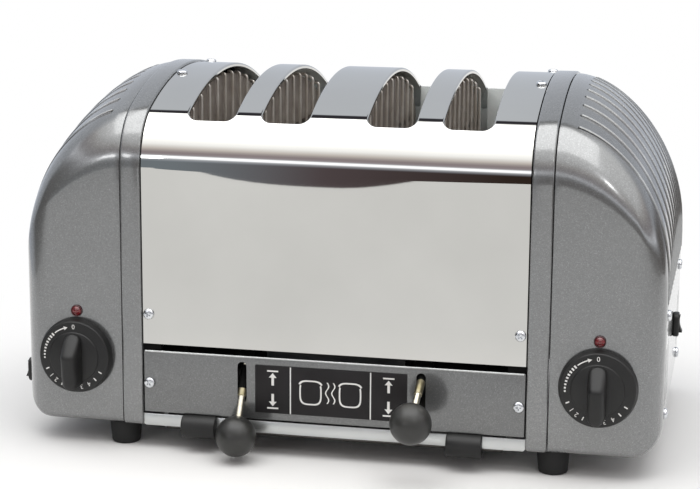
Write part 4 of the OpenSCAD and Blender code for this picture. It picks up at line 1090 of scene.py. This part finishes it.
r, stem, seat, deep = lampR, indicatorSpec["stem"], indicatorSpec["seat"], indicatorSpec["deep"]
lensShape = [(0, -deep), (stem, -deep), (stem, -seat), (r, -seat), (r, 0.5), (r - 0.6, 0.7), (r - 0.75, 0.95),
             (1.9, 1.5), (1.75, 1.4), (1.55, 1.6), (0.9, 2.05), (0, 2.15)]
rimShape = [(r - 0.65, 0.45), (r - 0.6, 1.0), (r - 0.3, 1.15), (r, 0.9), (r + 0.02, 0.02), (r - 0.65, 0.45)]
for side, name in ends:
    tag = name.capitalize()
    knob, ink = makeKnob("timerKnob" + tag), knobMarks("knobMarks" + tag)
    spot = at(side * timerX, -halfD - knobSpec["gap"], timerZ)
    for part in (knob, ink):  # their Z turns to the front, their Y up
        part.data.transform(Matrix.Translation(spot) @ Matrix.Rotation(math.radians(90), 4, "X"))
    finishPiece(knob, blackAbs, "timer_" + name, ["timer_knob_" + name], 40)
    finishPiece(ink, whiteInk, "timer_" + name)
    lens = turnedPiece("lampLens" + tag, lensShape, indicatorSpec["steps"])
    rim = turnedPiece("lampRim" + tag, rimShape, indicatorSpec["steps"])
    for part in (lens, rim):
        stand(part, (side * timerX, -halfD, lampZ), (0, -1, 0))
    finishPiece(lens, lensRed, "body", ["lamp_" + name])
    finishPiece(rim, rimRed, "body")
print("controls done")

rockerSpec = {"pocket": (6, 3.6), "pocketDeep": 6, "wall": (0.8, 1.2), "rim": 0.4, "corner": 3.4,
              "proud": 3.6, "soft": 1.0, "deep": 15, "lap": 0.4, "half": 5, "wide": 6.6, "back": 2.5,
              "front": 3, "edge": 0.8, "out": 1, "tilt": 8}
for side, name in ends:
    spec, tag = rockerSpec, name.capitalize()
    _, y, z = jointAt("rocker_%s_tilt" % name)
    tall, wide = [half + wall for half, wall in zip(spec["pocket"], spec["wall"])]
    rimLine = roundRect(2 * (wide + spec["rim"]), 2 * (tall + spec["rim"]), spec["corner"], 8)
    rim = platePiece("housing", [(y + a, z + b) for a, b in rimLine], "X", halfW, halfW + spec["proud"])
    core = boxPiece("housingBody", (halfW - spec["deep"], y - wide, z - tall),
                    (halfW + spec["lap"], y + wide, z + tall), 0.3)
    housing = joinPieces("rockerHousing" + tag, [softenEdges(rim, spec["soft"], 4), core])
    (high, deep), hollow = spec["pocket"], spec["pocketDeep"]
    cutAway(housing, [boxPiece("pocketCut", (halfW - hollow, y - deep, z - high),
                               (halfW + hollow, y + deep, z + high), 0)])
    half, edge = spec["half"], spec["edge"]
    shape = [(-spec["back"], half - edge), (-spec["back"], edge - half)]
    shape += [(spec["front"] + (k / 10 - 1) ** 2, half * (k / 10 - 1)) for k in range(21)]
    rocker = platePiece("rocker" + tag, shape, "Y", -spec["wide"] / 2, spec["wide"] / 2)
    softenEdges(rocker, edge, 3, 50)
    tilted = Matrix.Rotation(math.radians(-spec["tilt"]), 4, "Y") @ Matrix.Translation(-at(0, 0, 0))
    rocker.data.transform(Matrix.Translation(at(halfW + spec["out"], y, z)) @ tilted)
    if side < 0:
        flipSide(housing)
        flipSide(rocker)
    finishPiece(housing, blackAbs, "body", ["rocker_housing_" + name])
    finishPiece(rocker, blackAbs, "switch_" + name, ["rocker_" + name])
print("switches done")

glandSpec = {"radius": 6, "bore": 4, "inside": 6.2, "out": 14, "collar": 5, "sheet": 1.2,
             "nut": 9, "nutEdge": 0.5, "nutLap": 0.1, "innerNut": 4,
             "ribs": 4, "ribStart": 6, "ribPitch": 1.9, "taper": 2}
r, bore, inside, out = [glandSpec[key] for key in ("radius", "bore", "inside", "out")]
collar, nut, edge = [glandSpec[key] for key in ("collar", "nut", "nutEdge")]
sleeveRows = [(bore, -inside), (r, -inside), (r, collar - 0.1), (r + 1, collar)]
for k in range(glandSpec["ribs"]):
    z = glandSpec["ribStart"] + glandSpec["ribPitch"] * k
    top = r + 1 - glandSpec["taper"] * (z - collar) / (out - collar)
    sleeveRows += [(top, z), (top - 0.7, z + 0.25), (top - 0.8, z + 0.95), (top - 0.2, z + 1.2)]
sleeveRows += [(r - 1, out - 0.4), (r - 1.3, out), (bore, out), (bore, -inside)]
gland = [turnedPiece("cordGland", sleeveRows, 40)]
hole = r - glandSpec["nutLap"]
for z0, z1 in ((-glandSpec["sheet"] - glandSpec["innerNut"], -glandSpec["sheet"]), (0, collar)):
    rows = [(hole, z0), (nut - edge, z0), (nut, z0 + edge), (nut, z1 - edge), (nut - edge, z1),
            (hole, z1), (hole, z0)]
    gland.append(turnedPiece("nut", rows, 6))
gland = stand(joinPieces("cordGland", gland), (glandX, halfD, glandZ), (0, 1, 0))
finishPiece(gland, blackAbs, "body", ["cord_gland"], 30)
print("gland done")

wireSpec = {"radius": 0.9, "sides": 8, "bottomRadius": 1.1, "bottomLap": 1.8, "pitch": 17, "count": 9,
            "off": 2.2, "boardOff": 5.5, "middleGap": 0.4, "low": 69.8, "gap": 5.5,
            "bend": 1.8, "bendSteps": 5}
wireTurns = [math.pi / 2 * s / wireSpec["bendSteps"] for s in range(1, wireSpec["bendSteps"] + 1)]
for number, x in enumerate(wrapSpec["slotX"], 1):
    spec, low, bend = wireSpec, wireSpec["low"], wireSpec["bend"]
    middleX = math.copysign(leverX, x)
    first = -spec["pitch"] * (spec["count"] - 1) / 2
    parts = []
    for k in (-1, 1):
        edgeX = x + k * wrapSpec["slotWidth"] / 2
        wallX, tip = edgeX + k * spec["off"], edgeX + k * spec["boardOff"]
        if k * (middleX - x) > 0:  # the wires of two slots meet over the middle board
            tip = middleX - k * spec["middleGap"]
        for i in range(spec["count"]):
            y = first + i * spec["pitch"]
            top = roofAt(y, -spec["gap"])
            path = [(wallX, y, low), (wallX, y, (low + top) / 2), (wallX, y, top - bend)]
            path += [(wallX + k * bend * (1 - math.cos(turn)), y, top - bend * (1 - math.sin(turn)))
                     for turn in wireTurns]
            path.append((tip, y, top))
            parts.append(tubePiece("wire", path, spec["radius"], spec["sides"]))
        last = spec["bottomLap"] - first
        line = [(wallX, y, low) for y in (-last, 0, last)]
        parts.append(tubePiece("bottomWire", line, spec["bottomRadius"], spec["sides"], (1, 0, 0)))
    guard = joinPieces("slotGuard%d" % number, parts)
    finishPiece(guard, guardWire, "body", ["slot_guard_%d" % number], 60)
print("guards done")

restSpec = {"wide": 16, "sheet": 1.2, "lip": 4, "teeth": 14, "tooth": (0.3, 0.7), "notch": 2,
            "notchOver": 1, "soft": 0.2}
for side, name in ends:
    low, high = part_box("bread_rests_" + name)
    floorZ = low.z / mm
    y0, y1 = low.y / mm - bodyY, high.y / mm - bodyY
    half, sheet = restSpec["wide"] / 2, restSpec["sheet"]
    lip, inner = restSpec["lip"] + sheet, half - sheet
    shape = [(-half, lip), (-half, 0), (half, 0), (half, lip),
             (inner, lip), (inner, sheet), (-inner, sheet), (-inner, lip)]
    step, notch, over = (y1 - y0) / restSpec["teeth"], restSpec["notch"], half + restSpec["notchOver"]
    parts = []
    for x in [s for s in wrapSpec["slotX"] if s * side > 0]:
        rest = platePiece("breadRest", [(x + a, floorZ + b) for a, b in shape], "Y", y0, y1)
        notches = []
        for k in range(restSpec["teeth"]):
            start, end = [y0 + step * (k + share) for share in restSpec["tooth"]]
            notches.append(boxPiece("notch", (x - over, start, floorZ + lip - notch),
                                    (x + over, end, floorZ + lip + notch), 0))
        parts.append(softenEdges(cutAway(rest, notches), restSpec["soft"], 1, 50))
    rests = joinPieces("breadRests" + name.capitalize(), parts)
    finishPiece(rests, galvanised, "lift_" + name, ["bread_rests_" + name])
print("rests done")

# pale plate that closes each slot's rear end, held to the bulkhead by a flange; its near-white is painted
# light
shieldSpec = {"y": 82.6, "thick": 0.8, "half": 13.2, "low": 140, "topGap": 1.4, "soft": 0.3, "flangeZ": 172.5,
              "flangeEnd": 94.3, "flangeLap": 0.4}
shields = []
for x in wrapSpec["slotX"]:
    spec = shieldSpec
    left, right, back = x - spec["half"], x + spec["half"], spec["y"] + spec["thick"]
    shields.append(boxPiece("shield", (left, spec["y"], spec["low"]),
                            (right, back, roofAt(back) - spec["topGap"]), spec["soft"]))
    shields.append(boxPiece("shieldFlange", (left, spec["y"] + spec["flangeLap"], spec["flangeZ"]),
                            (right, spec["flangeEnd"], spec["flangeZ"] + spec["thick"]), 0))
finishPiece(joinPieces("slotEndShields", shields), paintedLightZinc, "body")
print("shields done")


def bothSides(*names):
    return [name + end for name in names for end in ("_left", "_right")]


# inner nodes that stay as they are in the frame, each with its own finish
keptFinish = {galvanised: bothSides("lift_arm", "timer_spindle"),
              # the near-white zinc here is painted light on the plates seen through the slots
              paintedLightZinc: ["rear_bulkhead"] + bothSides("carriage"),
              # the black here is painted shade on parts seen through the gaps
              shadeBlack: ["front_bulkhead"] + bothSides("lever_brackets", "lever_shaft"),
              bareSteel: ["tray_runners"], nickel: ["guide_rods"], zincScrew: ["foot_studs"],
              ribbonAlloy: ["element_ribbons"], mica: ["element_%d" % k for k in range(1, 7)],
              creamPlastic: bothSides("timer_case") + ["terminal_block"]}
for material, names in keptFinish.items():
    for name in names:
        for holder in nodes[name].material_slots:
            holder.material = material
print("kept nodes finished")


cameraSpec = {"place": (228.56, -1120.67, 345.97), "turn": (78.2042, -0.3883, 12.1479),
              "lens": 97.309, "sensor": 36}
bpy.ops.object.camera_add(location=at(*cameraSpec["place"]),
                          rotation=[math.radians(a) for a in cameraSpec["turn"]])
camera = bpy.context.object
camera.data.lens, camera.data.sensor_width = cameraSpec["lens"], cameraSpec["sensor"]
bpy.context.scene.camera = camera

# pale sheet under the object: real shadows near it, plain white further off for the camera and for
# reflections; past its edge the room is dark
floorSpec = {"tone": "#f8f7f5", "rough": 0.9, "fadeStart": 0.23, "fadeEnd": 0.42,
             "left": -620, "right": 720, "rear": 3000, "front": 1015, "thick": 4, "steps": 94,
             "bendLeft": -230, "curveLeft": 0.0045, "bendRight": -200, "curveRight": 0.022, "bendMost": 700}
spec = floorSpec
floorLine = []
for k in range(spec["steps"] + 1):
    x = spec["right"] + (spec["left"] - spec["right"]) * k / spec["steps"]
    away = spec["curveLeft"] * max(spec["bendLeft"] - x, 0) ** 2
    away += spec["curveRight"] * max(x - spec["bendRight"], 0) ** 2
    floorLine.append((x, -spec["front"] - min(away, spec["bendMost"])))
floorLine += [(spec["left"], spec["rear"]), (spec["right"], spec["rear"])]
floor = platePiece("studioFloor", floorLine, "Z", -spec["thick"], 0)
floorPaint, tree, shader, place = newMaterial("paleFloor")
setNode(tree, shader, {"Base Color": linear(spec["tone"]), "Roughness": spec["rough"]})
far = addNode(tree, "ShaderNodeVectorMath", None, {0: place}, operation="LENGTH")
fade = addNode(tree, "ShaderNodeMapRange", {"From Min": spec["fadeStart"], "From Max": spec["fadeEnd"]},
               {"Value": far.outputs["Value"]}, interpolation_type="SMOOTHSTEP")
rays = addNode(tree, "ShaderNodeLightPath")
seenBy = rays.outputs["Is Camera Ray"]
for kind in ("Is Glossy Ray", "Is Transmission Ray"):
    either = addNode(tree, "ShaderNodeMath", None, {0: seenBy, 1: rays.outputs[kind]}, operation="MAXIMUM")
    seenBy = either.outputs["Value"]
share = addNode(tree, "ShaderNodeMath", None, {0: seenBy, 1: fade.outputs["Result"]}, operation="MULTIPLY")
whiteFloor = addNode(tree, "ShaderNodeEmission", {"Color": (1, 1, 1, 1), "Strength": 1.0})
blend = addNode(tree, "ShaderNodeMixShader", None,
                {0: share.outputs["Value"], 1: shader.outputs["BSDF"], 2: whiteFloor.outputs["Emission"]})
tree.links.new(blend.outputs["Shader"], tree.nodes["Material Output"].inputs["Surface"])
paintPiece(floor, floorPaint)

lightSpec = {"overhead": {"place": (0, -320, 1500), "aim": (0, -320, 0),
                          "size": (1.9, 1.35), "power": 16},
             "frontRight": {"place": (1155, -1620, 1400), "aim": (165, -90, 170),
                            "size": (0.2, 0.2), "power": 1.6},
             "window": {"place": (-1260, -2790, 850), "aim": (-120, -100, 170),
                        "size": (0.55, 0.22), "power": 2.6}}
for name, spec in lightSpec.items():
    spot, goal = at(*spec["place"]), at(*spec["aim"])
    turn = (goal - spot).to_track_quat("-Z", "Y").to_euler()
    bpy.ops.object.light_add(type="AREA", location=spot, rotation=turn)
    light = bpy.context.object
    light.name = name
    light.data.shape = "RECTANGLE"
    light.data.size, light.data.size_y = spec["size"]
    light.data.energy = spec["power"]

# the room, by height in degrees: dark low down in front and high up on the left, a pale line over it,
# white above, pale blue-grey behind; the low stops run from left to right
lowStops = [(-1.0, "#2a2623"), (-0.55, "#3c3835"), (-0.38, "#7f868d"), (-0.30, "#8a939b"), (-0.22, "#62575a"),
            (-0.12, "#3c302a"), (0.25, "#463a33"), (0.55, "#5b504a"), (0.8, "#52463e"), (1.0, "#54483f")]
frontStops = [(6, "#b4bccb", 0), (12.5, "#eef0f6", 1), (16, "#eef0f6", 1), (19, "#b2a8ad", 1),
              (22.5, "#ac9fa3", 1), (29, "#e2dad5", 1), (37, "#ffffff", 1)]
rearStops = [(0, "#cdd3dd"), (35, "#d8dde6"), (57, "#dfe4ec"), (59.5, "#3a393f"), (66, "#3a393f"),
             (68, "#ffffff")]
glowStops = [(11, "#acacac"), (13, "#f5f5f5"), (15.5, "#f5f5f5"), (17.5, "#acacac"), (26, "#acacac"),
             (46, "#e5e5e5")]
roomSpec = {"level": 0.8, "glow": 2.4, "leftRise": 18, "leftSpan": (-0.45, -0.85),
            "rightFall": 9, "rightSpan": (0.6, 0.9), "rearTurn": (-0.3, 1, 0), "rearSpan": (0.15, 0.4),
            "cornerTone": "#43362d", "cornerLow": (10, 4), "cornerSpan": (0.35, 0.6),
            "boxLow": (67, 69), "boxGlow": 1.9}


# stops given by height in degrees, as shares of the way from straight down to straight up
def byHeight(stops):
    return [(0.5 + stop[0] / 180,) + stop[1:] for stop in stops]


world = bpy.data.worlds.new("studio")
bpy.context.scene.world = world
world.use_nodes = True
sky, spec = world.node_tree, roomSpec
way = addNode(sky, "ShaderNodeTexCoord").outputs["Generated"]
axes = addNode(sky, "ShaderNodeSeparateXYZ", None, {"Vector": way})
sideways = axes.outputs["X"]
level = addNode(sky, "ShaderNodeMath", None, {0: axes.outputs["Z"]}, operation="ARCSINE").outputs["Value"]
lowered = level
for span, most, operation in (("leftSpan", "leftRise", "SUBTRACT"), ("rightSpan", "rightFall", "ADD")):
    shift = addNode(sky, "ShaderNodeMapRange", {"From Min": spec[span][0], "From Max": spec[span][1],
                                                "To Min": 0.0, "To Max": math.radians(spec[most])},
                    {"Value": sideways}, interpolation_type="SMOOTHSTEP")
    moved = addNode(sky, "ShaderNodeMath", None, {0: lowered, 1: shift.outputs["Result"]},
                    operation=operation)
    lowered = moved.outputs["Value"]
height, frontHeight = [addNode(sky, "ShaderNodeMapRange", {"From Min": -math.pi / 2, "From Max": math.pi / 2},
                               {"Value": value}).outputs["Result"] for value in (level, lowered)]
across = addNode(sky, "ShaderNodeMapRange", {"From Min": -1.0, "From Max": 1.0}, {"Value": sideways})
rearward = addNode(sky, "ShaderNodeVectorMath", {1: spec["rearTurn"]}, {0: way}, operation="DOT_PRODUCT")
behind = addNode(sky, "ShaderNodeMapRange",
                 {"From Min": spec["rearSpan"][0], "From Max": spec["rearSpan"][1]},
                 {"Value": rearward.outputs["Value"]})
low, front, rear, bright = [addNode(sky, "ShaderNodeValToRGB", None, {"Fac": source})
                            for source in (across.outputs["Result"], frontHeight, height, frontHeight)]
setRamp(low.color_ramp, [((x + 1) / 2, code) for x, code in lowStops])
setRamp(front.color_ramp, byHeight(frontStops))
setRamp(rear.color_ramp, byHeight(rearStops))
setRamp(bright.color_ramp, byHeight(glowStops))
ahead = addNode(sky, "ShaderNodeMixRGB", None, {"Fac": front.outputs["Alpha"], "Color1": low.outputs["Color"],
                                                "Color2": front.outputs["Color"]})
# a dark corner low down behind on the right
lowDown = addNode(sky, "ShaderNodeMapRange", {"From Min": math.radians(spec["cornerLow"][0]),
                                              "From Max": math.radians(spec["cornerLow"][1])},
                  {"Value": level})
toRight = addNode(sky, "ShaderNodeMapRange",
                  {"From Min": spec["cornerSpan"][0], "From Max": spec["cornerSpan"][1]},
                  {"Value": sideways})
corner = addNode(sky, "ShaderNodeMath", None, {0: lowDown.outputs["Result"], 1: toRight.outputs["Result"]},
                 operation="MULTIPLY")
backRoom = addNode(sky, "ShaderNodeMixRGB", {"Color2": linear(spec["cornerTone"])},
                   {"Fac": corner.outputs["Value"], "Color1": rear.outputs["Color"]})
room = addNode(sky, "ShaderNodeMixRGB", None,
               {"Fac": behind.outputs["Result"], "Color1": ahead.outputs["Color"],
                "Color2": backRoom.outputs["Color"]})
# a plain level on the object; reflections also show the soft box overhead and the bright line
scaled = addNode(sky, "ShaderNodeMath", {1: spec["glow"]}, {0: bright.outputs["Color"]}, operation="MULTIPLY")
box = addNode(sky, "ShaderNodeMapRange",
              {"From Min": math.radians(spec["boxLow"][0]), "From Max": math.radians(spec["boxLow"][1]),
               "To Min": 1.0, "To Max": spec["boxGlow"]}, {"Value": level})
shown = addNode(sky, "ShaderNodeMapRange", None,
                {"Value": behind.outputs["Result"], "To Min": scaled.outputs["Value"],
                 "To Max": box.outputs["Result"]})
seen = addNode(sky, "ShaderNodeLightPath")
strength = addNode(sky, "ShaderNodeMapRange", {"To Min": spec["level"]},
                   {"Value": seen.outputs["Is Glossy Ray"], "To Max": shown.outputs["Result"]})
white = addNode(sky, "ShaderNodeBackground", {"Color": (1, 1, 1, 1), "Strength": 1.0})
plain = addNode(sky, "ShaderNodeBackground", None,
                {"Color": room.outputs["Color"], "Strength": strength.outputs["Result"]})
pick = addNode(sky, "ShaderNodeMixShader", None,
               {0: seen.outputs["Is Camera Ray"], 1: plain.outputs["Background"],
                2: white.outputs["Background"]})
sky.links.new(pick.outputs["Shader"], sky.nodes["World Output"].inputs["Surface"])
bpy.context.scene.view_settings.view_transform = "Standard"
print("studio done")
